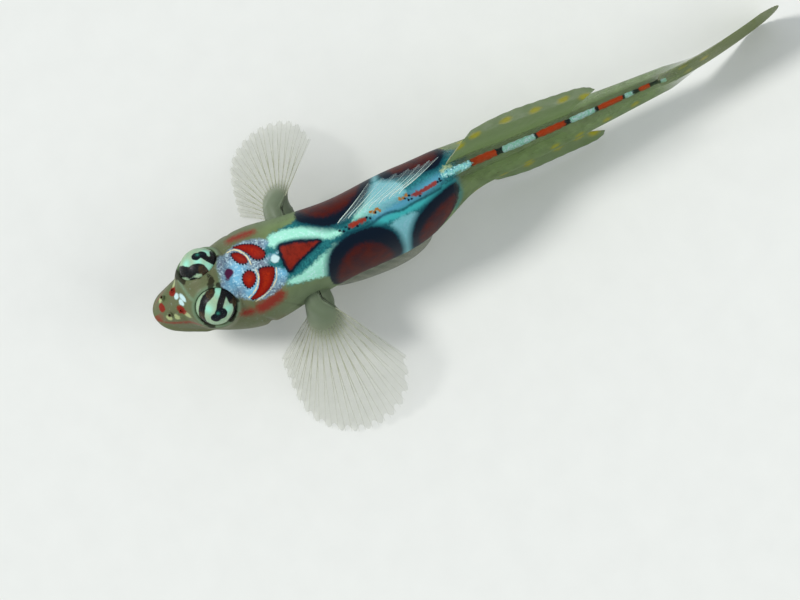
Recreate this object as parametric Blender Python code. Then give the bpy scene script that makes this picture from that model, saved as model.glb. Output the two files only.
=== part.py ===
"""Orangesided goby, life size: a small reef fish perched on its pelvic disc, pectoral fin tips and tail fin.

The head points along -Y and the fish's left side along +X. Heights are above the ground that it rests on.
The origin is on the front rim of the pelvic disc, where the disc meets the ground.
"""

import math

import bmesh
import bpy
import numpy as np

MM = 0.001

# Stations are distances behind the tip of the snout, in millimetres, and so are all sizes below.
STANDARD_LENGTH = 19.4
GAP = 0.3
HEAD_END = 4.6
TRUNK_END = 11.1
NOSE_HEIGHT = 2.4
NOSE_LENGTH = 0.95

# The body as (station, size): height of the back, height of the belly, half width and bend to the left.
BACK = ((0, 3.15), (1.6, 3.95), (3.1, 4.32), (6.5, 4.75), (10.2, 4.45), (14.2, 3.6), (17.4, 2.95), (19.4, 2.75))
BELLY = ((0, 1.7), (2.1, 1.42), (4.6, 1.24), (8, 1.15), (11, 1.22), (14, 1.26), (17.4, 1.06), (19.4, 0.9))
HALF_WIDTH = (
    (0, 0.7),
    (0.6, 0.74),
    (1.2, 0.95),
    (2.3, 1.38),
    (3.9, 1.66),
    (5.2, 1.5),
    (6.7, 1.34),
    (9.6, 1.33),
    (10.7, 1.12),
    (11.7, 0.88),
    (13.5, 0.76),
    (16, 0.6),
    (19.4, 0.36),
)
BEND = ((0, 0.27), (2.3, 0.43), (3.9, 0.47), (8.2, 0.51), (9.7, 0.42), (11.7, 0.05), (14, 0.03), (19.4, -0.06))
# How far up its section the body is widest, as a share, and how square the section is.
WIDEST = ((0, 0.46), (3, 0.42), (9, 0.42), (13, 0.5), (19.4, 0.5))
SQUARENESS = ((0, 2.3), (4, 2.25), (10, 2.1), (14, 2.0), (19.4, 2.0))
HEAD_ROWS = 24
NOSE_ROWS = 12
TRUNK_ROWS = 16
TAIL_ROWS = 19
TRUNK_AROUND = 40
TAIL_AROUND = 36

# Mouth, lips and gill cover. The mouth runs round the snout and falls towards its corners.
MOUTH_HEIGHT = 2.38
MOUTH_FALL = 0.16
MOUTH_CORNER = 1.75
MOUTH_FADE = 0.5
MOUTH_DEPTH = 0.17
MOUTH_HALF_GAP = 0.085
MOUTH_CUT_START = 0.13
MOUTH_END = 0.2
MOUTH_STEPS = 14
LIP_RISE = 0.08
LIP_RISE_IN_FRONT = 0.55
LIP_FRONT = 0.5
LIP_OFFSET = 0.17
LIP_WIDTH = 0.13
MOUTH_BAND = 0.34
COLUMNS_ABOVE_MOUTH = 12
COLUMNS_ALONG_MOUTH = 10
COLUMNS_BELOW_MOUTH = 7
CHEEK_STATION = 3.15
CHEEK_HEIGHT = 2.35
CHEEK_RISE = 0.07
CHEEK_RADIUS = 0.85
GILL_GROOVE_STATION = 3.6
GILL_GROOVE_CURVE = 0.3
GILL_GROOVE_DEPTH = 0.06
GILL_GROOVE_WIDTH = 0.16
GILL_GROOVE_HALF_HEIGHT = 0.75

# Eyes: domes on flats, each in a low mound of the head with a rim round the eye
EYE_STATION = 2.12
EYE_SIDE = 0.65
EYE_HEIGHT = 3.92
EYE_RADIUS = 0.72
EYE_LEAN = math.radians(40)
EYE_FORWARD = 0.12
EYE_BASE = 0.12
EYE_SIDES = 22
EYE_RINGS = 8
MOUND_RADIUS = 1.15
# The mound's outline from its foot to its rim: shares of its radius and places along the eye's axis
MOUND_SHAPE = ((0, -1.0), (0.5, -1.0), (0.93, -0.42), (1, -0.27), (0.99, -0.14), (0.94, -0.05), (0, -0.05))
CLEARANCE_STEPS = 4

# Nostrils: (station, share of the half width, height of the tube)
NOSTRILS = ((0.55, 0.42, 0.17), (0.95, 0.4, 0.08))
NOSTRIL_RADIUS = 0.1
NOSTRIL_BORE = 0.05
NOSTRIL_SIDES = 8
NOSTRIL_ROOT = 0.12
NOSTRIL_FLARE = 1.3
NOSTRIL_SPREAD = 0.35
NOSTRIL_FORWARD = 0.5

# Fins: a closed sheet with rays raised on both faces
SHEET = 0.5
TIP_SHEET = 0.26
TAPER_START = 0.6
RAY_RISE = 0.085
RAY_SHARE_OF_SPACING = 0.4
RAY_FOOT = 0.26
NOTCH = 0.03
FIN_ROWS = 6
BASE_CLEARANCE = 0.1
FIRST_DORSAL = dict(rays=7, start=7.2, end=9.5, lean=10, length=2.05, shorter=0.4, slope=50, flatter=31)
SECOND_DORSAL = dict(rays=12, start=11.4, end=16.0, lean=14, length=2.0, shorter=0.4, slope=46, flatter=16)
ANAL = dict(rays=11, start=11.8, end=15.6, lean=22, length=1.46, shorter=-0.55, slope=34, flatter=8)
# A fin leans a little less at its base than at its margin, and follows most of the fall of the back.
LEAN_AT_BASE = 0.7
LEAN_GAIN = 0.45
FIN_FOLLOW = 0.8
CAUDAL = dict(rays=17, top=2.62, foot=0.98, length=4.3, short=0.18, tilt=8, spread=9, bend=0.62, lean=0.3)
CAUDAL_BEND_POWER = 1.7
# The pectoral fins fan out sideways. Their ray lengths are shares of the longest ray, from the top ray down,
# and their rays turn from one angle behind to another in front.
PECTORAL = dict(rays=17, station=5.45, slant=0.25, top=3.05, foot=1.85, flesh=0.3)
PECTORAL_LENGTH = {1: 4.85, -1: 4.35}
PECTORAL_TURN = {1: (56, 157), -1: (48, 136)}
PECTORAL_SHARES = ((0, 0.74), (0.15, 0.93), (0.35, 1.0), (0.6, 0.9), (0.85, 0.66), (1, 0.56))
PECTORAL_TIP_HEIGHT = 0.17
PECTORAL_TOP_TIP = 1.5
PECTORAL_RAISED = 0.55
PECTORAL_DROOP = 1.25
FLESH_END = 0.33

# Pelvic disc
DISC_STATION = 7.6
DISC_HALF_LENGTH = 2.45
DISC_HALF_WIDTH = 1.12
DISC_WIDER_BEHIND = 0.14
DISC_SQUARENESS = 2.4
DISC_TOP = 1.0
DISC_RIM = 0.3
DISC_HOLLOW = 0.34
DISC_FLAT = 0.8
DISC_RAYS = 12
DISC_RAY_RISE = 0.06
DISC_DOME = 2.4
DISC_RAY_FADE = 0.33
DISC_ROOT = 5.9
DISC_AROUND = 4 * DISC_RAYS
DISC_RINGS = (0.25, 0.45, 0.63, DISC_FLAT, 0.9, 1.0)
ORIGIN_STATION = DISC_STATION - DISC_HALF_LENGTH * (1 + DISC_FLAT) / 2
SMALL_STEP = 0.01
WIDEST_SHARE = 0.99
HALVINGS = 30

SKIN = (0.60, 0.65, 0.50)
FIN = (0.60, 0.64, 0.48)
EYE = (0.10, 0.16, 0.13)
SHARP_EDGE = math.radians(40)


def smooth_through(points):
    """A function that runs smoothly through the (station, size) points."""
    stations, sizes = np.array(points, float).T
    steps = np.diff(stations)
    slopes = np.diff(sizes) / steps
    tangents = np.concatenate([[slopes[0]], np.zeros(len(slopes) - 1), [slopes[-1]]])
    tangents[1:-1] = (slopes[:-1] * steps[1:] + slopes[1:] * steps[:-1]) / (steps[1:] + steps[:-1])

    def size_at(station):
        i = int(np.clip(np.searchsorted(stations, station) - 1, 0, len(steps) - 1))
        t = min(max((station - stations[i]) / steps[i], 0.0), 1.0)
        rise = t * t * (3 - 2 * t)
        start = t * (1 - t) ** 2 * tangents[i]
        end = t * t * (1 - t) * tangents[i + 1]
        return sizes[i] * (1 - rise) + sizes[i + 1] * rise + steps[i] * (start - end)

    return size_at


back_at = smooth_through(BACK)
belly_at = smooth_through(BELLY)
half_width_at = smooth_through(HALF_WIDTH)
bend_at = smooth_through(BEND)
widest_at = smooth_through(WIDEST)
squareness_at = smooth_through(SQUARENESS)
pectoral_share_at = smooth_through(PECTORAL_SHARES)


def smooth_step(low, high, value):
    t = min(max((value - low) / (high - low), 0.0), 1.0)
    return t * t * (3 - 2 * t)


def bump(distance, width):
    return math.exp(-((distance / width) ** 2))


def place(point):
    """(side, station, height) in millimetres as a point of the model, in metres."""
    side, station, height = point
    return ((side - bend_at(ORIGIN_STATION)) * MM, (station - ORIGIN_STATION) * MM, height * MM)


def section(station, grow=0.0):
    """The body's half width, the height of its widest level, and its reach above and below that."""
    share = min(max(station, 0.0) / NOSE_LENGTH, 1.0)
    rounding = math.sqrt(share * (2 - share))
    top = NOSE_HEIGHT + (back_at(station) - NOSE_HEIGHT) * rounding
    foot = NOSE_HEIGHT + (belly_at(station) - NOSE_HEIGHT) * rounding
    middle = foot + widest_at(station) * (top - foot)
    return half_width_at(station) * rounding + grow, middle, top - middle + grow, middle - foot + grow


def bare_point(station, angle):
    """A point of the smooth body. Angle 0 is the back and a quarter turn the left side."""
    wide, middle, up, down = section(station)
    power = 2 / squareness_at(station)
    across, rise = math.sin(angle), math.cos(angle)
    side = math.copysign(abs(across) ** power, across) * wide
    height = middle + math.copysign(abs(rise) ** power, rise) * (up if rise > 0 else down)
    return np.array([bend_at(station) + side, station, height])


def height_on_body(station, side, upward):
    """Where the back or the belly lies, moved out by the gap, at a sideways place."""
    wide, middle, up, down = section(station, GAP)
    n = squareness_at(station)
    across = min(abs(side - bend_at(station)) / wide, WIDEST_SHARE)
    reach = (1 - across**n) ** (1 / n)
    return middle + up * reach if upward > 0 else middle - down * reach


def side_of_body(station, height, left):
    """Where the left or the right side lies, moved out by the gap, at a height."""
    wide, middle, up, down = section(station, GAP)
    n = squareness_at(station)
    share = min(abs(height - middle) / (up if height > middle else down), WIDEST_SHARE)
    return bend_at(station) + left * wide * (1 - share**n) ** (1 / n)


def mouth_line(station):
    return MOUTH_HEIGHT - MOUTH_FALL * station


def mouth_angle(station):
    """The angle at which the left side of the head crosses the line of the mouth."""
    low, high = 0.0, math.pi
    for _ in range(HALVINGS):
        middle = (low + high) / 2
        if bare_point(station, middle)[2] > mouth_line(station):
            low = middle
        else:
            high = middle
    return low


def head_angles(station):
    """The columns of the head round one ring, close together along the mouth."""
    at_mouth = mouth_angle(station)
    start, end = at_mouth - MOUTH_BAND, at_mouth + MOUTH_BAND
    above = np.linspace(0, start, COLUMNS_ABOVE_MOUTH, endpoint=False)
    along = np.linspace(start, end, COLUMNS_ALONG_MOUTH, endpoint=False)
    below = np.linspace(end, math.pi, COLUMNS_BELOW_MOUTH + 1)
    left = np.concatenate([above, along, below])
    return np.concatenate([left, 2 * math.pi - left[-2:0:-1]])


def even_angles(count):
    return lambda station: np.linspace(0, 2 * math.pi, count, endpoint=False)


def relief(point):
    """How far the skin of the head stands out at a point: lips, cheek and the edge of the gill cover."""
    _, station, height = point
    in_mouth = 1 - smooth_step(MOUTH_CORNER - MOUTH_FADE, MOUTH_CORNER, station)
    from_line = height - mouth_line(station)
    lips = bump(from_line - LIP_OFFSET, LIP_WIDTH) + bump(from_line + LIP_OFFSET, LIP_WIDTH)
    fuller = LIP_RISE_IN_FRONT + (1 - LIP_RISE_IN_FRONT) * smooth_step(0, LIP_FRONT, station)
    rise = LIP_RISE * fuller * lips * in_mouth
    above_cheek = height - CHEEK_HEIGHT
    rise += CHEEK_RISE * bump(math.hypot(station - CHEEK_STATION, above_cheek), CHEEK_RADIUS)
    groove = GILL_GROOVE_STATION - GILL_GROOVE_CURVE * above_cheek**2
    on_cheek = bump(above_cheek / GILL_GROOVE_HALF_HEIGHT, 1) * GILL_GROOVE_DEPTH
    return rise - on_cheek * bump(station - groove, GILL_GROOVE_WIDTH)


def skin_point(station, angle):
    """A point of the body with the relief of the head on it."""
    point = bare_point(station, angle)
    if station == 0:
        return point - np.array([0, relief(point), 0])
    along = bare_point(station + SMALL_STEP, angle) - point
    around = bare_point(station, angle + SMALL_STEP) - bare_point(station, angle - SMALL_STEP)
    normal = np.cross(around, along)
    return point + normal / np.linalg.norm(normal) * relief(point)


def link(mesh, name, colour, roughness=0.35):
    """A named object of the mesh, with its own material."""
    material = bpy.data.materials.new(name)
    material.use_nodes = True
    shader = material.node_tree.nodes["Principled BSDF"]
    shader.inputs["Base Color"].default_value = (*colour, 1)
    shader.inputs["Roughness"].default_value = roughness
    shader.inputs["Metallic"].default_value = 0
    mesh.materials.append(material)
    made = bpy.data.objects.new(name, mesh)
    bpy.context.scene.collection.objects.link(made)
    return made


def mesh_of(bm, name):
    """A mesh with its faces pointing out, shaded smooth but for its sharp edges."""
    bmesh.ops.recalc_face_normals(bm, faces=bm.faces)
    bmesh.ops.triangulate(bm, faces=[face for face in bm.faces if len(face.verts) > 4])
    mesh = bpy.data.meshes.new(name)
    bm.to_mesh(mesh)
    bm.free()
    mesh.shade_smooth()
    mesh.set_sharp_from_angle(angle=SHARP_EDGE)
    return mesh


def bridge(bm, ring, after):
    """Faces between two rings, either of which may be a single point."""
    count = max(len(ring), len(after))
    for i in range(count):
        j = (i + 1) % count
        corners = (ring[i % len(ring)], after[i % len(after)], after[j % len(after)], ring[j % len(ring)])
        bm.faces.new(list(dict.fromkeys(corners)))


def body_length(name, stations, angles_at, colour):
    """A length of the body through rings of skin, closed flat at its ends or round at the snout."""
    bm = bmesh.new()
    rings = []
    for station in stations:
        angles = angles_at(station) if station > 0 else [mouth_angle(0)]
        rings.append([bm.verts.new(place(skin_point(station, angle))) for angle in angles])
    for ring, after in zip(rings, rings[1:]):
        bridge(bm, ring, after)
    for ring in (rings[0], rings[-1]):
        if len(ring) > 1:
            bm.faces.new(ring)
    return link(mesh_of(bm, name), name, colour)


def turned(profile, sides, origin, axis, name, colour=SKIN):
    """A closed solid turned from (radius, along) points about the axis."""
    axis = np.array(axis) / np.linalg.norm(axis)
    first = np.cross(axis, (0, 1, 0))
    first /= np.linalg.norm(first)
    second = np.cross(axis, first)
    bm = bmesh.new()
    rings = []
    for radius, along in profile:
        centre = np.array(origin) + axis * along
        turns = np.linspace(0, 2 * math.pi, sides, endpoint=False) if radius > 0 else [0]
        spots = [centre + radius * (math.cos(turn) * first + math.sin(turn) * second) for turn in turns]
        rings.append([bm.verts.new(place(spot)) for spot in spots])
    for ring, after in zip(rings, rings[1:]):
        bridge(bm, ring, after)
    return link(mesh_of(bm, name), name, colour)


def combine(target, others, operation):
    """Joins closed objects to the target, or cuts them out of it, removes them and keeps the largest surface."""
    group = bpy.data.collections.new("others")
    for other in others:
        group.objects.link(other)
    modifier = target.modifiers.new("combine", "BOOLEAN")
    modifier.operation = operation
    modifier.operand_type = "COLLECTION"
    modifier.collection = group
    modifier.solver = "EXACT"
    graph = bpy.context.evaluated_depsgraph_get()
    result = bpy.data.meshes.new_from_object(target.evaluated_get(graph))
    target.modifiers.clear()
    target.data = result
    for other in others:
        bpy.data.objects.remove(other)
    bpy.data.collections.remove(group)
    keep_largest_surface(target)


def keep_largest_surface(target):
    bm = bmesh.new()
    bm.from_mesh(target.data)
    left = set(bm.verts)
    pieces = []
    while left:
        todo = [left.pop()]
        piece = set(todo)
        while todo:
            for edge in todo.pop().link_edges:
                for vert in edge.verts:
                    if vert in left:
                        left.remove(vert)
                        piece.add(vert)
                        todo.append(vert)
        pieces.append(piece)
    pieces.sort(key=len)
    for piece in pieces[:-1]:
        bmesh.ops.delete(bm, geom=list(piece), context="VERTS")
    bm.to_mesh(target.data)
    bm.free()


def eye_centre(left):
    return np.array([bend_at(EYE_STATION) + left * EYE_SIDE, EYE_STATION, EYE_HEIGHT])


def eye_axis(left):
    return np.array([left * math.sin(EYE_LEAN), -EYE_FORWARD, math.cos(EYE_LEAN)])


def eye_dome(left, name):
    """The seen part of an eye, flat where it meets the head."""
    rim = math.acos(EYE_BASE / EYE_RADIUS)
    profile = [(0, EYE_BASE)]
    for i in range(EYE_RINGS):
        turn = rim * (1 - i / EYE_RINGS)
        profile.append((EYE_RADIUS * math.sin(turn), EYE_RADIUS * math.cos(turn)))
    profile.append((0, EYE_RADIUS))
    return turned(profile, EYE_SIDES, eye_centre(left), eye_axis(left), name, EYE)


def eye_mound(left):
    """The low mound of skin that an eye sits on, before its flat is cut."""
    profile = [(share * MOUND_RADIUS, along) for share, along in MOUND_SHAPE]
    return turned(profile, 2 * EYE_SIDES, eye_centre(left), eye_axis(left), "mound")


def eye_clearance(left):
    """The space that an eye takes from the head: its own shape, larger by the gap."""
    rim = math.sqrt(EYE_RADIUS**2 - EYE_BASE**2)
    profile = [(0, EYE_BASE - GAP)]
    for i in range(CLEARANCE_STEPS + 1):
        turn = math.pi / 2 * i / CLEARANCE_STEPS
        profile.append((rim + GAP * math.sin(turn), EYE_BASE - GAP * math.cos(turn)))
    profile += [(rim + GAP, 2 * EYE_RADIUS), (0, 2 * EYE_RADIUS)]
    return turned(profile, 2 * EYE_SIDES, eye_centre(left), eye_axis(left), "clearance")


def mouth_cutter():
    """A wedge round the snout that cuts the line of the mouth, shallower towards its corners."""
    shares = np.linspace(-1, 1, 2 * MOUTH_STEPS + 1)
    path = []
    for share in shares:
        station = MOUTH_CORNER * share * share
        angle = mouth_angle(station)
        path.append(skin_point(station, angle if share > 0 else 2 * math.pi - angle))
    path = np.array(path)
    outward = np.cross(np.gradient(path, axis=0), (0, 0, -1))
    outward /= np.linalg.norm(outward, axis=1, keepdims=True)
    bm = bmesh.new()
    rings = []
    for share, spot, out in zip(shares, path, outward):
        width = MOUTH_END + (1 - MOUTH_END) * (1 - share**4)
        start = spot + out * MOUTH_CUT_START
        lift = np.array([0, 0, MOUTH_HALF_GAP * width])
        inner = spot - out * MOUTH_DEPTH * width
        rings.append([bm.verts.new(place(corner)) for corner in (start + lift, start - lift, inner)])
    for ring, after in zip(rings, rings[1:]):
        bridge(bm, ring, after)
    bm.faces.new(rings[0])
    bm.faces.new(rings[-1])
    return link(mesh_of(bm, "mouth"), "mouth", SKIN)


def nostril(station, share, height, left):
    """A short tube on the snout."""
    angle = math.asin(share)
    foot = skin_point(station, angle if left > 0 else 2 * math.pi - angle)
    axis = (NOSTRIL_SPREAD * left, -NOSTRIL_FORWARD, 1.0)
    profile = [
        (0, -NOSTRIL_ROOT),
        (NOSTRIL_FLARE * NOSTRIL_RADIUS, -NOSTRIL_ROOT),
        (NOSTRIL_RADIUS, height),
        (NOSTRIL_BORE, height),
        (0, height - NOSTRIL_RADIUS),
    ]
    return turned(profile, NOSTRIL_SIDES, foot, axis, "nostril")


def make_head():
    nose = [NOSE_LENGTH * (1 - math.cos(math.pi / 2 * i / NOSE_ROWS)) for i in range(NOSE_ROWS)]
    rest = np.linspace(NOSE_LENGTH, HEAD_END - GAP / 2, HEAD_ROWS)
    head = body_length("head", nose + list(rest), head_angles, SKIN)
    tubes = [nostril(*size, left) for size in NOSTRILS for left in (1, -1)]
    combine(head, tubes + [eye_mound(1), eye_mound(-1)], "UNION")
    combine(head, [eye_clearance(1), eye_clearance(-1), mouth_cutter()], "DIFFERENCE")
    eye_dome(1, "eye_left")
    eye_dome(-1, "eye_right")


def make_body():
    trunk = np.linspace(HEAD_END + GAP / 2, TRUNK_END - GAP / 2, TRUNK_ROWS + 1)
    body_length("trunk", trunk, even_angles(TRUNK_AROUND), SKIN)
    tail = np.linspace(TRUNK_END + GAP / 2, STANDARD_LENGTH, TAIL_ROWS + 1)
    body_length("tail", tail, even_angles(TAIL_AROUND), SKIN)


def ray_columns(rays):
    """Places across a fin, from 0 to 1: the foot, crest and foot of each ray."""
    places = [0.0, RAY_FOOT]
    for ray in range(1, rays - 1):
        places += [ray - RAY_FOOT, float(ray), ray + RAY_FOOT]
    places += [rays - 1 - RAY_FOOT, rays - 1.0]
    return np.array(places) / (rays - 1), [place == int(place) for place in places]


def rayed_fin(name, rays, point_at, seat, colour=FIN, flesh=0.0):
    """A closed fin with its rays raised on both faces.

    point_at(a, b) gives the middle of the sheet, with a from the first ray to the last and b from base to tip.
    seat moves a point of the base to where it faces what the fin grows from, and flesh thickens the base.
    """
    across, on_ray = ray_columns(rays)
    columns = len(across)
    grid = np.zeros((columns, FIN_ROWS + 1, 3))
    for i in range(columns):
        for j in range(FIN_ROWS + 1):
            reach = j / FIN_ROWS * (1 if on_ray[i] else 1 - NOTCH)
            grid[i, j] = point_at(across[i], reach)
    rise = np.zeros((columns, FIN_ROWS + 1))
    crests = [i for i in range(columns) if on_ray[i]]
    for i in crests:
        near = grid[i + 3] if i + 3 < columns else grid[i - 3]
        spacing = np.linalg.norm(near - grid[i], axis=1)
        rise[i] = np.minimum(RAY_RISE, RAY_SHARE_OF_SPACING * spacing)
    half = np.zeros((columns, FIN_ROWS + 1))
    for j in range(FIN_ROWS + 1):
        share = j / FIN_ROWS
        sheet = SHEET + (TIP_SHEET - SHEET) * smooth_step(TAPER_START, 1, share)
        half[:, j] = (sheet + flesh * max(0.0, 1 - share / FLESH_END)) / 2 + rise[:, j]
    normal = np.cross(np.gradient(grid, axis=0), np.gradient(grid, axis=1))
    normal /= np.linalg.norm(normal, axis=2, keepdims=True)
    bm = bmesh.new()
    faces = []
    for sign in (1, -1):
        offset = grid + normal * (half * sign)[:, :, None]
        for i in range(columns):
            offset[i, 0] = seat(offset[i, 0])
        offset[:, :, 2] = np.maximum(offset[:, :, 2], 0)
        faces.append([[bm.verts.new(place(point)) for point in row] for row in offset])
    for layer in faces:
        for i in range(columns - 1):
            for j in range(FIN_ROWS):
                corners = [layer[i][j], layer[i + 1][j], layer[i + 1][j + 1], layer[i][j + 1]]
                bm.faces.new(corners[:3])
                bm.faces.new([corners[0], corners[2], corners[3]])
    edge = [(i, 0) for i in range(columns)]
    edge += [(columns - 1, j) for j in range(1, FIN_ROWS + 1)]
    edge += [(i, FIN_ROWS) for i in range(columns - 2, -1, -1)]
    edge += [(0, j) for j in range(FIN_ROWS - 1, 0, -1)]
    front, rear = faces
    for (i, j), (k, m) in zip(edge, edge[1:] + edge[:1]):
        bm.faces.new([front[i][j], front[k][m], rear[k][m]])
        bm.faces.new([front[i][j], rear[k][m], rear[i][j]])
    return link(mesh_of(bm, name), name, colour)


def median_fin(name, fin, upward):
    """A fin on the back or the belly, its rays laid back and the whole fin leaning to one side."""
    edge_at = back_at if upward > 0 else belly_at

    def point_at(a, b):
        station = fin["start"] + (fin["end"] - fin["start"]) * a
        lean = math.radians(fin["lean"]) * (LEAN_AT_BASE + LEAN_GAIN * b)
        outward = np.array([-math.sin(lean), 0, math.cos(lean)]) * upward
        base = np.array([bend_at(station), station, edge_at(station)]) + outward * (GAP + BASE_CLEARANCE)
        slope = math.radians(fin["slope"] - fin["flatter"] * a)
        length = (fin["length"] - fin["shorter"] * a * a) * b
        along = math.cos(slope) * length
        follow = edge_at(station + along) - edge_at(station)
        shift = bend_at(station + along) - bend_at(station)
        return base + np.array([shift, along, FIN_FOLLOW * follow]) + outward * math.sin(slope) * length

    def seat(point):
        side, station, _ = point
        return np.array([side, station, height_on_body(station, side, upward)])

    return rayed_fin(name, fin["rays"], point_at, seat)


def make_median_fins():
    median_fin("first_dorsal_fin", FIRST_DORSAL, 1)
    median_fin("second_dorsal_fin", SECOND_DORSAL, 1)
    median_fin("anal_fin", ANAL, -1)


def make_caudal_fin():
    """The tail fin, half closed, its top ray level and its lowest ray down to the ground."""
    start = STANDARD_LENGTH + GAP

    def point_at(a, b):
        middle = 2 * a - 1
        turn = -math.radians(CAUDAL["tilt"] + CAUDAL["spread"] * middle)
        length = CAUDAL["length"] * (1 - CAUDAL["short"] * middle * middle) * b
        station = start + math.cos(turn) * length
        height = CAUDAL["top"] * (1 - a) + CAUDAL["foot"] * a + math.sin(turn) * length
        side = bend_at(STANDARD_LENGTH) - CAUDAL["lean"] * a * b
        side -= CAUDAL["bend"] * ((station - start) / CAUDAL["length"]) ** CAUDAL_BEND_POWER
        return np.array([side, station, height])

    rayed_fin("caudal_fin", CAUDAL["rays"], point_at, lambda point: np.array([point[0], start, point[2]]))


def make_pectoral_fin(left, name):
    """A fan that spreads sideways, its upper rays raised and its lower ray tips on the ground."""
    first_turn, last_turn = PECTORAL_TURN[left]

    def point_at(a, b):
        height = PECTORAL["top"] * (1 - a) + PECTORAL["foot"] * a
        station = PECTORAL["station"] - PECTORAL["slant"] * a
        base = np.array([side_of_body(station, height, left), station, height])
        turn = math.radians(first_turn + (last_turn - first_turn) * a)
        length = PECTORAL_LENGTH[left] * pectoral_share_at(a)
        raised = PECTORAL_TOP_TIP * max(0.0, 1 - a / PECTORAL_RAISED) ** 2
        fall = height - PECTORAL_TIP_HEIGHT - raised
        flat = math.sqrt(length * length - fall * fall) * b
        return base + np.array([left * math.sin(turn) * flat, math.cos(turn) * flat, -fall * b**PECTORAL_DROOP])

    def seat(point):
        _, station, height = point
        return np.array([side_of_body(station, height, left), station, height])

    rayed_fin(name, PECTORAL["rays"], point_at, seat, FIN, PECTORAL["flesh"])


def make_pelvic_disc():
    """The sucker under the breast: a shallow cup with raised rays, flat where its rim meets the ground."""
    bend = bend_at(ORIGIN_STATION)

    def disc_points(turn, share):
        """The upper and the lower point of the disc at a turn round it and a share of the way out."""
        across, ahead = math.sin(turn), math.cos(turn)
        power = 2 / DISC_SQUARENESS
        back = -math.copysign(abs(ahead) ** power, ahead) * share
        side = math.copysign(abs(across) ** power, across) * share * (1 + DISC_WIDER_BEHIND * back)
        side *= DISC_HALF_WIDTH
        station = DISC_ROOT + (DISC_STATION - DISC_ROOT) * share + DISC_HALF_LENGTH * back
        ray = DISC_RAY_RISE * math.cos(turn * DISC_RAYS) * share
        cap = DISC_RIM + (DISC_TOP - DISC_RIM) * (1 - share**DISC_DOME) + ray
        top = min(cap, height_on_body(station, bend + side, -1))
        hollow = max(0.0, 1 - (share / DISC_FLAT) ** 2)
        foot = DISC_HOLLOW * hollow + ray * min(1.0, hollow / DISC_RAY_FADE)
        return (bend + side, station, top), (bend + side, station, max(foot, 0.0))

    bm = bmesh.new()
    layers = ([], [])
    for share in (0.0, *DISC_RINGS):
        turns = np.linspace(0, 2 * math.pi, DISC_AROUND, endpoint=False) if share else [0]
        pairs = [disc_points(turn, share) for turn in turns]
        for layer, points in zip(layers, zip(*pairs)):
            layer.append([bm.verts.new(place(point)) for point in points])
    for rings in layers:
        for ring, after in zip(rings, rings[1:]):
            bridge(bm, ring, after)
    top, foot = layers
    bridge(bm, top[-1], foot[-1])
    bmesh.ops.triangulate(bm, faces=bm.faces)
    link(mesh_of(bm, "pelvic_disc"), "pelvic_disc", FIN)


def main():
    for old in list(bpy.data.objects):
        bpy.data.objects.remove(old)
    make_head()
    make_body()
    make_median_fins()
    make_caudal_fin()
    make_pectoral_fin(1, "pectoral_fin_left")
    make_pectoral_fin(-1, "pectoral_fin_right")
    make_pelvic_disc()


main()
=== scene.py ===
"""The looks of the orangesided goby: one skin with its markings, eyes, clear fins with rays, and the stage.

All sizes below are in millimetres, and stations are distances behind the tip of the snout, as in the solids.
A place on the skin is (station, angle). Angle 0 is the middle of the back, and the left has positive angles.
"""

import math

import bpy
import numpy as np
from mathutils import Matrix, Vector


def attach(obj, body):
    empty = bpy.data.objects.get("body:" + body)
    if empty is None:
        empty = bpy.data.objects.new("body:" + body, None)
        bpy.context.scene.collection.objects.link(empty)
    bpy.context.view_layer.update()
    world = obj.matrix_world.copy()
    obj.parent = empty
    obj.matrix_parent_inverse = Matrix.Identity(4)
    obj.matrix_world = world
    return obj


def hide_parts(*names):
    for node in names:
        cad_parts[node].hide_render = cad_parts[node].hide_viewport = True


bl_info = {
    "name": "Orangesided goby",
    "version": (1, 0, 0),
    "blender": (4, 5, 0),
    "location": "3D View > Sidebar > Goby",
    "description": "Builds the skin, eyes and fins of a life-size goby round its solids",
    "category": "Add Mesh",
}

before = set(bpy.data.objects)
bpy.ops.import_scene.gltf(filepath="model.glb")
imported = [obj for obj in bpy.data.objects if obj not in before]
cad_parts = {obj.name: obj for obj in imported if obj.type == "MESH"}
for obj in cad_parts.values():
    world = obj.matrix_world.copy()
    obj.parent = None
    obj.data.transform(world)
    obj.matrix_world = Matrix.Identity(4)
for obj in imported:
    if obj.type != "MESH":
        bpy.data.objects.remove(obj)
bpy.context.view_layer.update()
MM = 0.001

# The body's driving sizes, the same as the solids' own
STANDARD_LENGTH = 19.4
NOSE_HEIGHT = 2.4
NOSE_LENGTH = 0.95
BACK = ((0, 3.15), (1.6, 3.95), (3.1, 4.32), (6.5, 4.75), (10.2, 4.45), (14.2, 3.6), (17.4, 2.95),
        (19.4, 2.75))
BELLY = ((0, 1.7), (2.1, 1.42), (4.6, 1.24), (8, 1.15), (11, 1.22), (14, 1.26), (17.4, 1.06), (19.4, 0.9))
HALF_WIDTH = ((0, 0.7), (0.6, 0.74), (1.2, 0.95), (2.3, 1.38), (3.9, 1.66), (5.2, 1.5), (6.7, 1.34),
              (9.6, 1.33), (10.7, 1.12), (11.7, 0.88), (13.5, 0.76), (16, 0.6), (19.4, 0.36))
BEND = ((0, 0.27), (2.3, 0.43), (3.9, 0.47), (8.2, 0.51), (9.7, 0.42), (11.7, 0.05), (14, 0.03),
        (19.4, -0.06))
WIDEST = ((0, 0.46), (3, 0.42), (9, 0.42), (13, 0.5), (19.4, 0.5))
SQUARENESS = ((0, 2.3), (4, 2.25), (10, 2.1), (14, 2.0), (19.4, 2.0))

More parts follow.
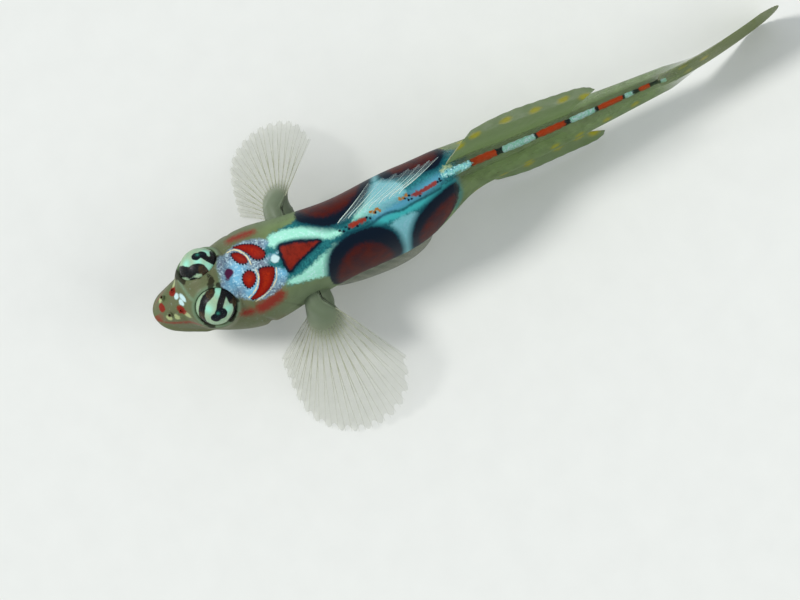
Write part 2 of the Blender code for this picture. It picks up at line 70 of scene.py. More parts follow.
# Mouth, lips, cheek and gill cover
MOUTH_HEIGHT = 2.38
MOUTH_FALL = 0.16
MOUTH_CORNER = 1.75
MOUTH_FADE = 0.35
MOUTH_GROOVE = 0.15
MOUTH_GROOVE_WIDTH = 0.035
LIP_RISE = 0.08
LIP_RISE_IN_FRONT = 0.55
LIP_FRONT = 0.5
LIP_OFFSET = 0.17
LIP_WIDTH = 0.12
CHEEK_STATION = 3.15
CHEEK_HEIGHT = 2.35
CHEEK_RISE = 0.07
CHEEK_RADIUS = 0.85
GILL_GROOVE_STATION = 3.6
GILL_GROOVE_CURVE = 0.3
GILL_GROOVE_DEPTH = 0.08
GILL_GROOVE_WIDTH = 0.12
GILL_GROOVE_HALF_HEIGHT = 0.75

# Eyes
EYE_STATION = 2.12
EYE_SIDE = 0.65
EYE_HEIGHT = 3.92
EYE_RADIUS = 0.735
EYE_LEAN = math.radians(40)
EYE_FORWARD = 0.12

# Pelvic disc, from which the origin is worked out
DISC_STATION = 7.6
DISC_HALF_LENGTH = 2.45
DISC_HALF_WIDTH = 1.12
DISC_WIDER_BEHIND = 0.14
DISC_SQUARENESS = 2.4
DISC_FLAT = 0.8
DISC_ROOT = 5.9
ORIGIN_STATION = DISC_STATION - DISC_HALF_LENGTH * (1 + DISC_FLAT) / 2

# Fins, as in the solids
FIRST_DORSAL = dict(rays=7, start=7.2, end=9.5, lean=10, length=2.05, shorter=0.4, slope=50, flatter=31)
SECOND_DORSAL = dict(rays=12, start=11.4, end=16.0, lean=14, length=2.0, shorter=0.4, slope=46, flatter=16)
ANAL = dict(rays=11, start=11.8, end=15.6, lean=22, length=1.46, shorter=-0.55, slope=34, flatter=8)
LEAN_AT_BASE = 0.7
LEAN_GAIN = 0.45
FIN_FOLLOW = 0.8
CAUDAL = dict(rays=17, top=2.62, foot=0.98, length=4.3, short=0.18, tilt=8, spread=9, bend=0.62, lean=0.3)
CAUDAL_BEND_POWER = 1.7
PECTORAL = dict(rays=17, station=5.45, slant=0.25, top=3.05, foot=1.85)
PECTORAL_LENGTH = {1: 4.85, -1: 4.35}
PECTORAL_TURN = {1: (56, 157), -1: (48, 136)}
PECTORAL_SHARES = ((0, 0.74), (0.15, 0.93), (0.35, 1.0), (0.6, 0.9), (0.85, 0.66), (1, 0.56))
PECTORAL_TIP_HEIGHT = 0.06
PECTORAL_TOP_TIP = 1.5
PECTORAL_RAISED = 0.55
PECTORAL_DROOP = 1.25
CAUDAL_STANDS_OFF = 0.1
CAUDAL_LONGER = 0.2
CAUDAL_LOWEST = 0.04
SOLID_GAP = 0.3
FIN_STANDS_OFF = 0.1
FIN_ROOT = 0.12
ROOT_REACH = 0.2
ROOT_SLOPE = 0.6
PECTORAL_ROOT = 0.6


def smooth_through(points):
    """A function that runs smoothly through the (station, size) points, for one station or an array."""
    stations, sizes = np.array(points, float).T
    steps = np.diff(stations)
    slopes = np.diff(sizes) / steps
    tangents = np.concatenate([[slopes[0]], np.zeros(len(slopes) - 1), [slopes[-1]]])
    tangents[1:-1] = (slopes[:-1] * steps[1:] + slopes[1:] * steps[:-1]) / (steps[1:] + steps[:-1])

    def size_at(station):
        i = np.clip(np.searchsorted(stations, station) - 1, 0, len(steps) - 1)
        t = np.clip((station - stations[i]) / steps[i], 0.0, 1.0)
        rise = t * t * (3 - 2 * t)
        start = t * (1 - t) ** 2 * tangents[i]
        end = t * t * (1 - t) * tangents[i + 1]
        return sizes[i] * (1 - rise) + sizes[i + 1] * rise + steps[i] * (start - end)

    return size_at


back_at = smooth_through(BACK)
belly_at = smooth_through(BELLY)
half_width_at = smooth_through(HALF_WIDTH)
bend_at = smooth_through(BEND)
widest_at = smooth_through(WIDEST)
squareness_at = smooth_through(SQUARENESS)


def smooth_step(low, high, value):
    t = np.clip((value - low) / (high - low), 0.0, 1.0)
    return t * t * (3 - 2 * t)


def bump(distance, width):
    return np.exp(-((distance / width) ** 2))


def place(points):
    """(side, station, height) in millimetres as points of the model, in metres."""
    return (np.asarray(points, float) - (bend_at(ORIGIN_STATION), ORIGIN_STATION, 0)) * MM


def section(station, grow=0.0):
    """The body's half width, the height of its widest level, and its reach above and below that."""
    share = np.clip(station / NOSE_LENGTH, 0.0, 1.0)
    rounding = np.sqrt(share * (2 - share))
    top = NOSE_HEIGHT + (back_at(station) - NOSE_HEIGHT) * rounding
    foot = NOSE_HEIGHT + (belly_at(station) - NOSE_HEIGHT) * rounding
    middle = foot + widest_at(station) * (top - foot)
    return half_width_at(station) * rounding + grow, middle, top - middle + grow, middle - foot + grow


def body_point(station, angle, grow=0.0):
    """Points of the smooth body. Angle 0 is the back and a quarter turn the left side."""
    wide, middle, up, down = section(station, grow)
    power = 2 / squareness_at(station)
    across, rise = np.sin(angle), np.cos(angle)
    side = np.sign(across) * np.abs(across) ** power * wide
    height = middle + np.sign(rise) * np.abs(rise) ** power * np.where(rise > 0, up, down)
    return np.stack([bend_at(station) + side, station + 0 * side, height], axis=-1)


def mouth_line(station):
    return MOUTH_HEIGHT - MOUTH_FALL * station


def relief(points):
    """How far the skin of the head stands out: lips, the line of the mouth, cheek and gill cover."""
    station, height = points[..., 1], points[..., 2]
    in_mouth = 1 - smooth_step(MOUTH_CORNER - MOUTH_FADE, MOUTH_CORNER, station)
    from_line = height - mouth_line(station)
    lips = bump(from_line - LIP_OFFSET, LIP_WIDTH) + bump(from_line + LIP_OFFSET, LIP_WIDTH)
    fuller = LIP_RISE_IN_FRONT + (1 - LIP_RISE_IN_FRONT) * smooth_step(0, LIP_FRONT, station)
    rise = (LIP_RISE * fuller * lips - MOUTH_GROOVE * bump(from_line, MOUTH_GROOVE_WIDTH)) * in_mouth
    above_cheek = height - CHEEK_HEIGHT
    rise += CHEEK_RISE * bump(np.hypot(station - CHEEK_STATION, above_cheek), CHEEK_RADIUS)
    groove = GILL_GROOVE_STATION - GILL_GROOVE_CURVE * above_cheek**2
    on_cheek = bump(above_cheek / GILL_GROOVE_HALF_HEIGHT, 1) * GILL_GROOVE_DEPTH
    return rise - on_cheek * bump(station - groove, GILL_GROOVE_WIDTH)


def eye_centre(left):
    return np.array([bend_at(EYE_STATION) + left * EYE_SIDE, EYE_STATION, EYE_HEIGHT])


def eye_axes(left):
    """The eye's own directions: out along its axis, back along the body and out to the side."""
    out = np.array([left * math.sin(EYE_LEAN), -EYE_FORWARD, math.cos(EYE_LEAN)])
    out /= np.linalg.norm(out)
    back = np.array([0, 1, 0]) - out * out[1]
    back /= np.linalg.norm(back)
    side = np.cross(back, out) * left
    return out, back, side


# The skin round an eye, as (distance from the eye's axis, height above the eye's centre)
LID = ((0, -0.2), (0.6, -0.12), (0.67, 0.1), (0.705, 0.215), (0.75, 0.262), (0.8, 0.25), (0.87, 0.19),
       (1.0, 0.02), (1.3, -0.35))
LID_HOLDS_TO = 0.9
LID_ENDS = 1.36
LID_DEEPEST = -1.0

lid_height_at = smooth_through(LID)


def with_lids(points):
    """The skin drawn up round each eye to a soft rim, and sunk under the eyeball."""
    for left in (1, -1):
        out = eye_axes(left)[0]
        from_centre = points - eye_centre(left)
        height = from_centre @ out
        across = np.linalg.norm(from_centre - height[..., None] * out, axis=-1)
        near = (1 - smooth_step(LID_HOLDS_TO, LID_ENDS, across)) * (height > LID_DEEPEST)
        lift = (lid_height_at(across) - height) * near
        lift = np.where((across > LID_HOLDS_TO) & (lift < 0), 0, lift)
        points = points + lift[..., None] * out
    return points


# Colours, as parts of 255
def tint(red, green, blue):
    """A screen colour as the linear colour that materials use."""
    parts = np.array([red, green, blue]) / 255
    return tuple(np.where(parts <= 0.04045, parts / 12.92, ((parts + 0.055) / 1.055) ** 2.4))


def colour_property(name, description, red, green, blue):
    return bpy.props.FloatVectorProperty(
        name=name, description=description, default=tint(red, green, blue), subtype="COLOR", min=0, max=1
    )


class GobyColours(bpy.types.PropertyGroup):
    """The colours of the skin, eyes and fins."""

    flesh: colour_property("Flesh", "Clear olive flesh of the tail and flanks", 121, 144, 90)
    head: colour_property("Head", "Skin of the snout and cheeks", 103, 106, 77)
    belly: colour_property("Belly", "Pale skin under the belly", 158, 160, 138)
    mint: colour_property("Mint", "Bright arms and patches of the back", 158, 228, 202)
    teal: colour_property("Teal", "Ground of the back", 48, 138, 138)
    deep: colour_property("Deep teal", "Shaded edge round the blotches", 12, 60, 72)
    sky: colour_property("Sky", "Blue band beside the first dorsal fin", 92, 164, 190)
    night: colour_property("Night", "Blue-black margins of the blotches", 10, 24, 38)
    maroon: colour_property("Maroon", "Dark red inside the blotches", 78, 22, 15)
    nape: colour_property("Nape", "Violet-blue ground of the nape", 66, 90, 118)
    sparkle: colour_property("Sparkle", "Brightest flecks", 214, 246, 246)
    red: colour_property("Red", "Bright red of the nape", 134, 18, 11)
    brick: colour_property("Brick", "Red of the triangle", 136, 38, 24)
    plum: colour_property("Plum", "Dark dot between the eyes and the nape's marks", 78, 30, 62)
    orange: colour_property("Orange", "Dashes along the spine", 206, 60, 14)
    blush: colour_property("Blush", "Soft red on the cheeks and lips", 138, 30, 26)
    cream: colour_property("Cream", "Fine lines round the nape's marks", 222, 212, 168)
    brown: colour_property("Brown", "Ridge line and freckles", 82, 62, 32)
    yellow: colour_property("Yellow", "Spots of the tail and its fins", 164, 160, 12)
    pale: colour_property("Pale", "Pale spots of the snout", 178, 190, 134)
    gold: colour_property("Gold", "Flecks beside the dashes of the back", 178, 120, 54)
    azure: colour_property("Azure", "Sparkling front of the nape", 112, 196, 232)
    lobe: colour_property("Lobe", "Fleshy base of the pectoral fins", 106, 119, 93)
    caudal: colour_property("Caudal", "Olive membrane of the tail's fin", 108, 124, 54)
    fin: colour_property("Fin", "Clear membrane of the fins", 146, 152, 116)
    ray: colour_property("Ray", "Fin rays", 222, 222, 196)
    eye_green: colour_property("Eye green", "Pale ground of the iris", 132, 178, 148)
    eye_dark: colour_property("Eye dark", "Stripes of the iris", 30, 22, 14)
    floor: colour_property("Floor", "The plain floor", 226, 226, 220)


class GobySizes(bpy.types.PropertyGroup):
    """Sizes that can be changed without touching the solids."""

    membrane: bpy.props.FloatProperty(
        name="Membrane", description="Thickness of the fins", default=0.04 * MM, min=0, unit="LENGTH"
    )
    ray: bpy.props.FloatProperty(
        name="Ray", description="Radius of a fin ray at its root", default=0.036 * MM, min=0, unit="LENGTH"
    )
    ray_sides: bpy.props.IntProperty(name="Ray sides", description="Sides of a fin ray", default=8, min=3)


# Building blocks


def finish_piece(piece, slot, *nodes):
    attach(piece, "root")
    if nodes:
        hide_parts(*nodes)


def link_object(name, data):
    made = bpy.data.objects.new(name, data)
    bpy.context.scene.collection.objects.link(made)
    return made


def set_fields(mesh, fields):
    """Gives the points of a mesh the named values that its material reads."""
    for name, values in fields.items():
        attribute = mesh.attributes.new(name, "FLOAT", "POINT")
        attribute.data.foreach_set("value", np.asarray(values, np.float32).ravel())


def mesh_object(name, points, faces, material, fields=None):
    """A smooth object at the origin, from points in millimetres."""
    mesh = bpy.data.meshes.new(name)
    mesh.from_pydata([tuple(point) for point in place(points).reshape(-1, 3)], [], faces)
    mesh.validate()
    mesh.shade_smooth()
    set_fields(mesh, fields or {})
    mesh.materials.append(material)
    return link_object(name, mesh)


def turns_round(count):
    return np.linspace(0, 2 * math.pi, count, endpoint=False)


def grid_faces(rows, columns, start=0, closed=True, flip=False):
    """Quads between neighbouring rows of points, joined round where closed."""
    faces = []
    for i in range(rows - 1):
        for j in range(columns if closed else columns - 1):
            k = (j + 1) % columns
            near, far = start + i * columns, start + (i + 1) * columns
            quad = (near + j, near + k, far + k, far + j)
            faces.append(quad[::-1] if flip else quad)
    return faces


def tube_faces(rows, columns):
    """The faces of a tube of rings that is closed at both ends."""
    last = (rows - 1) * columns
    return grid_faces(rows, columns) + [tuple(range(columns - 1, -1, -1)), tuple(range(last, last + columns))]


class Nodes:
    """A node tree that is written left to right."""

    def __init__(self, tree):
        self.tree = tree

    def add(self, kind, inputs=None, **settings):
        node = self.tree.nodes.new(kind)
        for key, value in settings.items():
            setattr(node, key, value)
        for key, value in (inputs or {}).items():
            self.feed(node.inputs[key], value)
        return node

    def feed(self, socket, value):
        """Links a socket to a node or a socket, or sets its value. A colour may leave out its last part."""
        if isinstance(value, bpy.types.Node):
            value = value.outputs[0]
        if isinstance(value, bpy.types.NodeSocket):
            self.tree.links.new(value, socket)
        else:
            socket.default_value = (*value[:3], 1.0) if socket.type == "RGBA" else value

    def math(self, operation, first, second=0.0, third=0.0, clamp=False):
        inputs = {0: first, 1: second, 2: third}
        return self.add("ShaderNodeMath", inputs, operation=operation, use_clamp=clamp).outputs[0]

    def mix(self, factor, first, second):
        """Two colours mixed by a factor."""
        return self.add("ShaderNodeMix", {0: factor, 6: first, 7: second}, data_type="RGBA").outputs[2]

    def mix_values(self, factor, first, second):
        """Two values mixed by a factor."""
        return self.add("ShaderNodeMix", {0: factor, 2: first, 3: second}, data_type="FLOAT").outputs[0]

    def ramp(self, value, low, high, start=0.0, end=1.0):
        """A value that runs from start to end while the given one runs from low to high."""
        inputs = {"Value": value, 1: low, 2: high, 3: start, 4: end}
        return self.add("ShaderNodeMapRange", inputs).outputs[0]

    def where(self):
        return self.add("ShaderNodeTexCoord").outputs["Object"]

    def noise(self, scale, detail=4.0, roughness=0.5):
        inputs = {"Vector": self.where(), "Scale": scale, "Detail": detail, "Roughness": roughness}
        return self.add("ShaderNodeTexNoise", inputs).outputs[0]

    def cells(self, scale):
        return self.add("ShaderNodeTexVoronoi", {"Vector": self.where(), "Scale": scale}).outputs

    def field(self, name):
        return self.add("ShaderNodeAttribute", attribute_name=name).outputs["Fac"]

    def group(self, tree, inputs):
        return self.add("ShaderNodeGroup", inputs, node_tree=tree).outputs


def scaled(paint, share):
    """A colour made darker or lighter."""
    return tuple(min(1, share * part) for part in paint)


def new_group(name, inputs, *outputs):
    """A shader node group of values, its nodes and the sockets at its two ends."""
    tree = bpy.data.node_groups.new(name, "ShaderNodeTree")
    for key, value in inputs.items():
        tree.interface.new_socket(key, in_out="INPUT", socket_type="NodeSocketFloat").default_value = value
    for key in outputs:
        tree.interface.new_socket(key, in_out="OUTPUT", socket_type="NodeSocketFloat")
    nodes = Nodes(tree)
    return tree, nodes, nodes.add("NodeGroupInput").outputs, nodes.add("NodeGroupOutput").inputs


# Sizes of the textures, as features in a metre
EDGE_NOISE = 9000.0
CRYSTALS = 21000.0
CRYSTAL_CLOUDS = 5200.0
GRAIN = 22000.0
MOTTLE = 2600.0
FRECKLES = 6500.0
RAY_NOISE = 6000.0
MEMBRANE_NOISE = 3000.0
FLOOR_NOISE = 900.0

# Strengths inside the node groups
RAGGED_GAIN = 4.0
BEAD_OUTER = 1.35
BEAD_INNER = 0.75
SPARK_GAIN = 3.0
GRAIN_SHARE = 0.6
GRAIN_STRENGTH = 0.3
GRAIN_HEIGHT = 0.02 * MM


def marking_edge_group():
    """Turns a depth inside a marking, in millimetres, into a mask with an irregular edge."""
    inputs = {"Depth": 0.0, "Softness": 0.02, "Ragged": 0.04}
    tree, nodes, given, result = new_group("Marking edge", inputs, "Mask")
    noise = nodes.math("SUBTRACT", nodes.noise(EDGE_NOISE, 3.0, 0.7), 0.5)
    ragged = nodes.math("MULTIPLY", noise, given["Ragged"])
    depth = nodes.math("MULTIPLY_ADD", ragged, RAGGED_GAIN, given["Depth"])
    mask = nodes.ramp(depth, nodes.math("MULTIPLY", given["Softness"], -1.0), given["Softness"])
    mask.node.interpolation_type = "SMOOTHSTEP"
    nodes.feed(result["Mask"], mask)
    return tree


def bead_group():
    """Small round beads set along the edge of a marking."""
    inputs = {"Depth": 0.0, "Along": 0.0, "Pitch": 0.1, "Radius": 0.03}
    tree, nodes, given, result = new_group("Beads", inputs, "Mask")
    turns = nodes.math("DIVIDE", given["Along"], given["Pitch"])
    centred = nodes.math("SUBTRACT", nodes.math("FRACT", turns), 0.5)
    away = nodes.math("MULTIPLY", centred, given["Pitch"])
    squares = nodes.math("MULTIPLY", away, away)
    depth_square = nodes.math("MULTIPLY", given["Depth"], given["Depth"])
    far = nodes.math("SQRT", nodes.math("ADD", squares, depth_square))
    outer = nodes.math("MULTIPLY", given["Radius"], BEAD_OUTER)
    inner = nodes.math("MULTIPLY", given["Radius"], BEAD_INNER)
    nodes.feed(result["Mask"], nodes.ramp(far, outer, inner))
    return tree


def fleck_group():
    """Bright crystals in the skin: cells of uneven brightness with a few sparks."""
    tree, nodes, given, result = new_group("Flecks", {"Scale": 1.0, "Spark": 0.35}, "Fleck", "Spark")
    cells = nodes.cells(nodes.math("MULTIPLY", given["Scale"], CRYSTALS))
    grey = nodes.add("ShaderNodeSeparateColor", {"Color": cells["Color"]}).outputs
    clouds = nodes.noise(nodes.math("MULTIPLY", given["Scale"], CRYSTAL_CLOUDS))
    nodes.feed(result["Fleck"], nodes.mix_values(0.5, grey[0], clouds))
    threshold = nodes.math("SUBTRACT", 1.0, given["Spark"])
    lit = nodes.math("SUBTRACT", grey[1], threshold, clamp=True)
    nodes.feed(result["Spark"], nodes.math("MULTIPLY", lit, SPARK_GAIN, clamp=True))
    return tree


def skin_relief_group():
    """The fine grain of wet, scaleless skin, as a height."""
    tree, nodes, given, result = new_group("Skin grain", {"Scale": 1.0}, "Height", "Mottle")
    fine = nodes.cells(nodes.math("MULTIPLY", given["Scale"], GRAIN))[0]
    broad = nodes.noise(nodes.math("MULTIPLY", given["Scale"], MOTTLE))
    nodes.feed(result["Height"], nodes.math("MULTIPLY_ADD", fine, GRAIN_SHARE, broad))
    nodes.feed(result["Mottle"], broad)
    return tree


def edge_mask(nodes, depth, softness, ragged):
    """The mask of a marking, from the depth inside it as a socket or the name of a field."""
    tree = bpy.data.node_groups.get("Marking edge") or marking_edge_group()
    depth = nodes.field(depth) if isinstance(depth, str) else depth
    return nodes.group(tree, {"Depth": depth, "Softness": softness, "Ragged": ragged})[0]


def flecks(nodes, scale, spark):
    """The brightness of the crystals in the skin, and the few of them that spark."""
    tree = bpy.data.node_groups.get("Flecks") or fleck_group()
    return nodes.group(tree, {"Scale": scale, "Spark": spark})


WET_LOOK = {"Roughness": 0.35, "Coat Weight": 0.0, "Coat Roughness": 0.1, "IOR": 1.3, "Coat IOR": 1.25,
            "Specular IOR Level": 0.3}


def material_with(name, looks):
    """A new wet material, its nodes and the inputs of its shader."""
    material = bpy.data.materials.new(name)
    material.use_nodes = True
    material.node_tree.nodes.clear()
    nodes = Nodes(material.node_tree)
    shader = nodes.add("ShaderNodeBsdfPrincipled", WET_LOOK | looks)
    nodes.feed(nodes.add("ShaderNodeOutputMaterial").inputs["Surface"], shader)
    return material, nodes, shader.inputs


# Markings, as places on the skin: (station, angle in degrees)
ANGLE_WIDTH = 0.026
BACK_GROUND = (
    ((4.78, 0), (4.78, 24), (4.62, 38), (4.7, 44), (5.3, 52), (5.95, 62), (6.12, 84), (6.35, 104),
     (7.3, 112), (8.9, 104), (10.0, 100), (10.9, 78), (11.3, 52), (11.45, 22), (11.5, 0)),
    ((4.78, 2), (4.62, -14), (4.7, -23), (5.2, -27), (5.75, -34), (6.05, -60), (6.35, -103), (7.3, -112),
     (8.9, -104), (10.0, -100), (10.9, -78), (11.3, -42), (11.5, 2)),
)
BRIGHT_PATCHES = (
    ((4.6, 40), (4.8, 36), (5.23, 37), (5.82, 31), (6.4, 25), (6.72, 21), (6.8, 27), (6.5, 39), (6.25, 48),
     (6.0, 60), (5.75, 62), (5.41, 54), (5.0, 48)),
    ((4.6, -20), (5.05, -24), (5.92, -16), (6.5, -4), (6.9, 5), (7.0, 12), (6.7, 13), (6.26, 8), (5.75, 1),
     (5.2, -6), (4.66, -6)),
    ((8.66, 30), (9.23, 27), (9.6, 32), (9.7, 40), (9.42, 48), (9.14, 67), (8.98, 92), (8.8, 104), (8.62, 92),
     (8.66, 72), (8.74, 50), (8.66, 37)),
    ((8.5, -36), (8.84, -41), (9.25, -31), (9.5, -15), (9.54, 0), (9.2, 6), (8.5, 9), (8.0, 6), (7.5, 4),
     (7.75, -4), (8.1, -13)),
    ((8.62, -44), (8.9, -44), (8.98, -70), (8.95, -100), (8.76, -104), (8.7, -80)),
)
GREEN_GLOW = ((11.12, 40), (11.4, 40), (11.3, 75), (10.95, 92), (10.85, 84), (11.12, 68))
CYAN_BAND = ((7.3, 21), (8.05, 23), (8.56, 20), (9.02, 22.4), (9.6, 23), (10.1, 27), (10.8, 31), (11.3, 36))
BLUE_LINE = ((7.2, 16), (7.65, 18), (8.05, 18), (8.5, 14), (8.88, 15), (9.2, 19), (9.69, 18.5), (10.2, 22),
             (10.7, 26))
NAPE = (
    (2.62, 2), (2.75, -14), (3.1, -26), (3.6, -31), (4.2, -26), (4.66, -16), (4.9, 8), (4.86, 30), (4.5, 38),
    (4.05, 42), (3.55, 42), (3.1, 34), (2.85, 24), (2.68, 13),
)
NAPE_MARKS = (
    ((3.42, -28.5), (3.77, -26), (4.15, -18), (4.36, -7), (4.31, -1), (4.12, 0), (3.93, -3), (3.82, -10),
     (3.63, -20)),
    ((3.27, -20), (3.38, -21), (3.56, -17), (3.71, -9), (3.68, -2.5), (3.46, -4), (3.31, -11)),
    ((3.34, 6.5), (3.56, 3.5), (3.74, 8), (3.73, 15.5), (3.55, 21.5), (3.35, 22.5), (3.27, 14)),
    ((3.95, 7.5), (4.2, 8.5), (4.44, 13), (4.36, 21), (4.1, 31), (3.8, 37), (3.42, 39.5), (3.28, 36),
     (3.55, 30), (3.74, 23), (3.86, 15)),
)
NAPE_LINES = (
    ((3.18, -26), (3.42, -25), (3.6, -18.5), (3.74, -9), (3.77, 0)),
    ((3.85, 6), (3.82, 15), (3.68, 23), (3.46, 29.5), (3.22, 34)),
    ((4.5, 15), (4.36, 26), (4.08, 34), (3.7, 39.5), (3.4, 42)),
)
TRIANGLE = ((4.88, -4), (5.2, -3.5), (5.65, 0), (6.22, 8), (6.1, 12), (5.65, 17), (5.2, 23), (4.92, 27.5),
            (4.82, 22), (4.82, 8))
BLOTCHES = (
    ((6.02, 76), (6.12, 52), (6.4, 32), (6.9, 22), (7.55, 19), (8.2, 25), (8.6, 42), (8.68, 63), (8.62, 86),
     (8.3, 108), (7.4, 116), (6.55, 108), (6.12, 92)),
    ((9.1, 98), (9.08, 80), (9.26, 57), (9.6, 41), (10.12, 34), (10.75, 33), (11.2, 36), (11.3, 48),
     (11.1, 68), (10.75, 84), (10.2, 98), (9.6, 103)),
    ((5.78, -36), (6.12, -17), (6.7, -3), (7.35, -5), (8.0, -15), (8.33, -27), (8.56, -46), (8.62, -76),
     (8.3, -106), (7.4, -116), (6.5, -108), (6.0, -80)),
    ((9.1, -98), (9.0, -62), (9.05, -40), (9.5, -27), (10.1, -19), (10.7, -9), (11.05, -12), (11.3, -38),
     (11.05, -68), (10.6, -86), (9.9, -101)),
)
BLOTCH_REDS = (
    ((6.22, 88), (6.36, 66), (6.72, 48), (7.3, 38), (7.85, 44), (8.22, 62), (8.32, 84), (8.05, 102),
     (7.3, 108), (6.55, 102)),
    ((9.36, 92), (9.4, 74), (9.72, 58), (10.25, 51), (10.9, 52), (11.12, 60), (10.98, 72), (10.6, 86),
     (10.0, 95)),
    ((6.05, -80), (6.05, -48), (6.42, -24), (7.1, -17), (7.75, -26), (8.15, -46), (8.25, -76), (8.0, -100),
     (7.3, -108), (6.5, -100)),
    ((9.36, -90), (9.28, -62), (9.42, -42), (10.0, -31), (10.8, -22), (11.05, -40), (10.8, -70), (10.1, -92)),
)
BACK_DASHES = (((7.4, 8), (7.88, 8)), ((9.78, 8.5), (10.1, 11), (10.6, 13)))
BACK_SPECKS = (
    (6.98, 8), (7.1, 11), (7.22, 7), (7.3, 11), (8.0, 7), (8.1, 10), (8.35, 6), (9.45, 7), (9.55, 11),
    (9.66, 12), (9.62, 6), (10.7, 14), (10.8, 12), (10.82, 16), (9.95, 15), (7.6, 12.5),
)
GOLD_FLECKS = ((8.2, 2.5), (8.32, 5), (8.44, 3), (8.5, 6), (9.3, 4), (9.42, 6), (9.52, 4))
LIME = ((11.0, 3), (11.16, 1), (11.3, 4))
BACK_WHITE = (((11.02, 11), (11.24, 13), (11.38, 15)), ((11.42, 16), (11.6, 18), (11.86, 20)))
SNOUT_RED = ((0.35, -4), (0.92, -20), (0.95, 22))
SNOUT_WHITE = ((0.99, -5), (1.07, 6), (1.2, -1))
SNOUT_PALE = ((1.08, -32.5), (0.42, -31), (0.45, 35), (1.1, 33.4), (0.7, 38))
MIDLINE_DOT = (2.96, -1.5)
CHEEK_BLOTCHES = (((2.9, 55), (3.12, 55)), ((3.45, -45), (3.85, -42), (4.2, -40)))
CHEEK_PATCH = (((3.5, 55), (3.85, 51.5), (4.2, 49)),)
AZURE = ((3.05, 6), (3.3, -1), (3.5, 29), (4.66, 22), (4.7, -4))
DIAMOND = ((4.43, 5), (4.6, 0.5), (4.74, 6), (4.58, 10))
YELLOW_ON_TAIL = (
    (11.14, -50), (12.0, -44), (11.84, 106), (12.9, 100), (13.85, 92), (14.89, 80), (15.83, 84),
    (16.9, 80), (18.0, 76), (12.8, -100), (14.0, -92), (15.1, -86), (16.2, -82), (17.4, -80),
)
LIP_RED = (((0.3, 54), (0.5, 57), (0.72, 58)), ((0.92, 59), (1.3, 59)), ((0.3, -50), (0.55, -58)),
           ((0.08, 12), (0.1, 50)))
RIDGE_LINE = ((11.3, 0), (14, 0), (17, 0), (19.2, 0))

# What the fields are drawn from: outlines, lines with their half width, and spots with their radius
AREAS = {
    "ground": BACK_GROUND, "bright": BRIGHT_PATCHES, "glow": (GREEN_GLOW,), "blotch": BLOTCHES,
    "maroon": BLOTCH_REDS, "brick": (TRIANGLE,), "nape": (NAPE,),
}
STROKES = {
    "orange": (BACK_DASHES, 0.085), "cream": (NAPE_LINES, 0.019), "dash": (BACK_WHITE, 0.15),
    "cyan": ((CYAN_BAND,), 0.13), "blue_line": ((BLUE_LINE,), 0.045), "ridge": ((RIDGE_LINE,), 0.025),
}
BLUSHES = ((CHEEK_BLOTCHES, 0.15), (CHEEK_PATCH, 0.23), (LIP_RED, 0.08))
SPOTS = {
    "snout_red": (SNOUT_RED, 0.165), "specks": (BACK_SPECKS, 0.045), "plum": ((MIDLINE_DOT,), 0.15),
    "lime": (LIME, 0.07), "gold": (GOLD_FLECKS, 0.06), "azure": (AZURE, 0.3),
    "white_spot": (SNOUT_WHITE, 0.1), "pale_spot": (SNOUT_PALE, 0.115), "yellow": (YELLOW_ON_TAIL, 0.17),
}

# Soft fields of the skin. A pair is where a field starts and where it is full, as stations or shares
SKY_ANGLE = 10
SKY_WIDTH = 9
SKY_STARTS = (7.9, 8.4)
SKY_ENDS = (10.6, 11.2)
REARWARD = (7.4, 8.7)
HEAD_ENDS = (3.6, 5.4)
BELLY_SHARE = (0.72, 0.95)
BELLY_ENDS = (10.5, 12)
LOBE_STATION = 5.25
LOBE_ACROSS = 1.95
LOBE_SQUEEZE = 0.7
LOBE_RADIUS = 0.95
# The gill field is painted shade: a dark line along the edge of the gill cover, and a fainter one in the
# groove in front of it
GILL_EDGE = 4.72
GILL_EDGE_WIDTH = 0.05
GILL_SHADE = 0.4
GILL_SHADE_WIDTH = 0.07
GILL_EDGE_HALF_HEIGHT = 0.85
GILLS_STATION = 3.95
GILLS_HEIGHT = 2.1
GILLS_LENGTH = 1.2
GILLS_DEPTH = 0.7
GILLS_RADIUS = 0.75
MUSCLE_PITCH = 0.4
MUSCLE_SLANT = 0.4
MUSCLE_STARTS = (11, 12)
# The groove field is painted shade: a dark line in the groove of the mouth, and dark bores in the nostrils
GROOVE_WIDTH = 0.05
GROOVE_ENDS = (MOUTH_CORNER - 0.1, MOUTH_CORNER + 0.05)
EYE_SKIN_DEPTH = -0.9
RIM_RADIUS = 0.77
RIM_WIDTH = 0.07

# How clear the flesh is. The clear tail begins on a slant, and a strip of its upper left side is clearest
CLEAR_START = 11.3
CLEAR_SLANT = 1.3
CLEAR_FADE = (-0.1, 0.35)
FLESH_CLEAR = 0.34
WINDOW_CLEAR = 0.94
WINDOW_ANGLE = math.radians(20)
WINDOW_WIDTH = math.radians(23)
BELLY_SOLID = 0.82
BELLY_SOLID_FROM = (0.62, 0.85)
END_CLEAR = 0.68
END_STARTS = (18.6, 20.2)
END_FADES = (19.7, 21.1)

# Dark stripes that run from an eye onto the skin round it, across the eye as its own stripes are
RIM_STRIPES = {
    1: (
        (((0.02, -0.66), (0.12, -0.8), (0.2, -0.9)), 0.1),
        (((0.52, -0.42), (0.68, -0.58), (0.76, -0.7)), 0.11),
        (((-0.58, 0.3), (-0.48, 0.58), (-0.4, 0.68)), 0.09),
        (((0.5, 0.44), (0.36, 0.62), (0.28, 0.7)), 0.08),
        (((0.62, -0.32), (0.74, -0.16), (0.76, 0.1)), 0.05),
    ),
    -1: (
        (((0.0, -0.66), (-0.02, -0.82), (-0.1, -0.92)), 0.11),
        (((-0.66, 0.0), (-0.78, 0.14), (-0.8, 0.3)), 0.11),
        (((0.66, -0.2), (0.84, -0.3), (0.88, -0.5)), 0.1),
        (((0.37, -0.62), (0.5, -0.82)), 0.08),
    ),
}


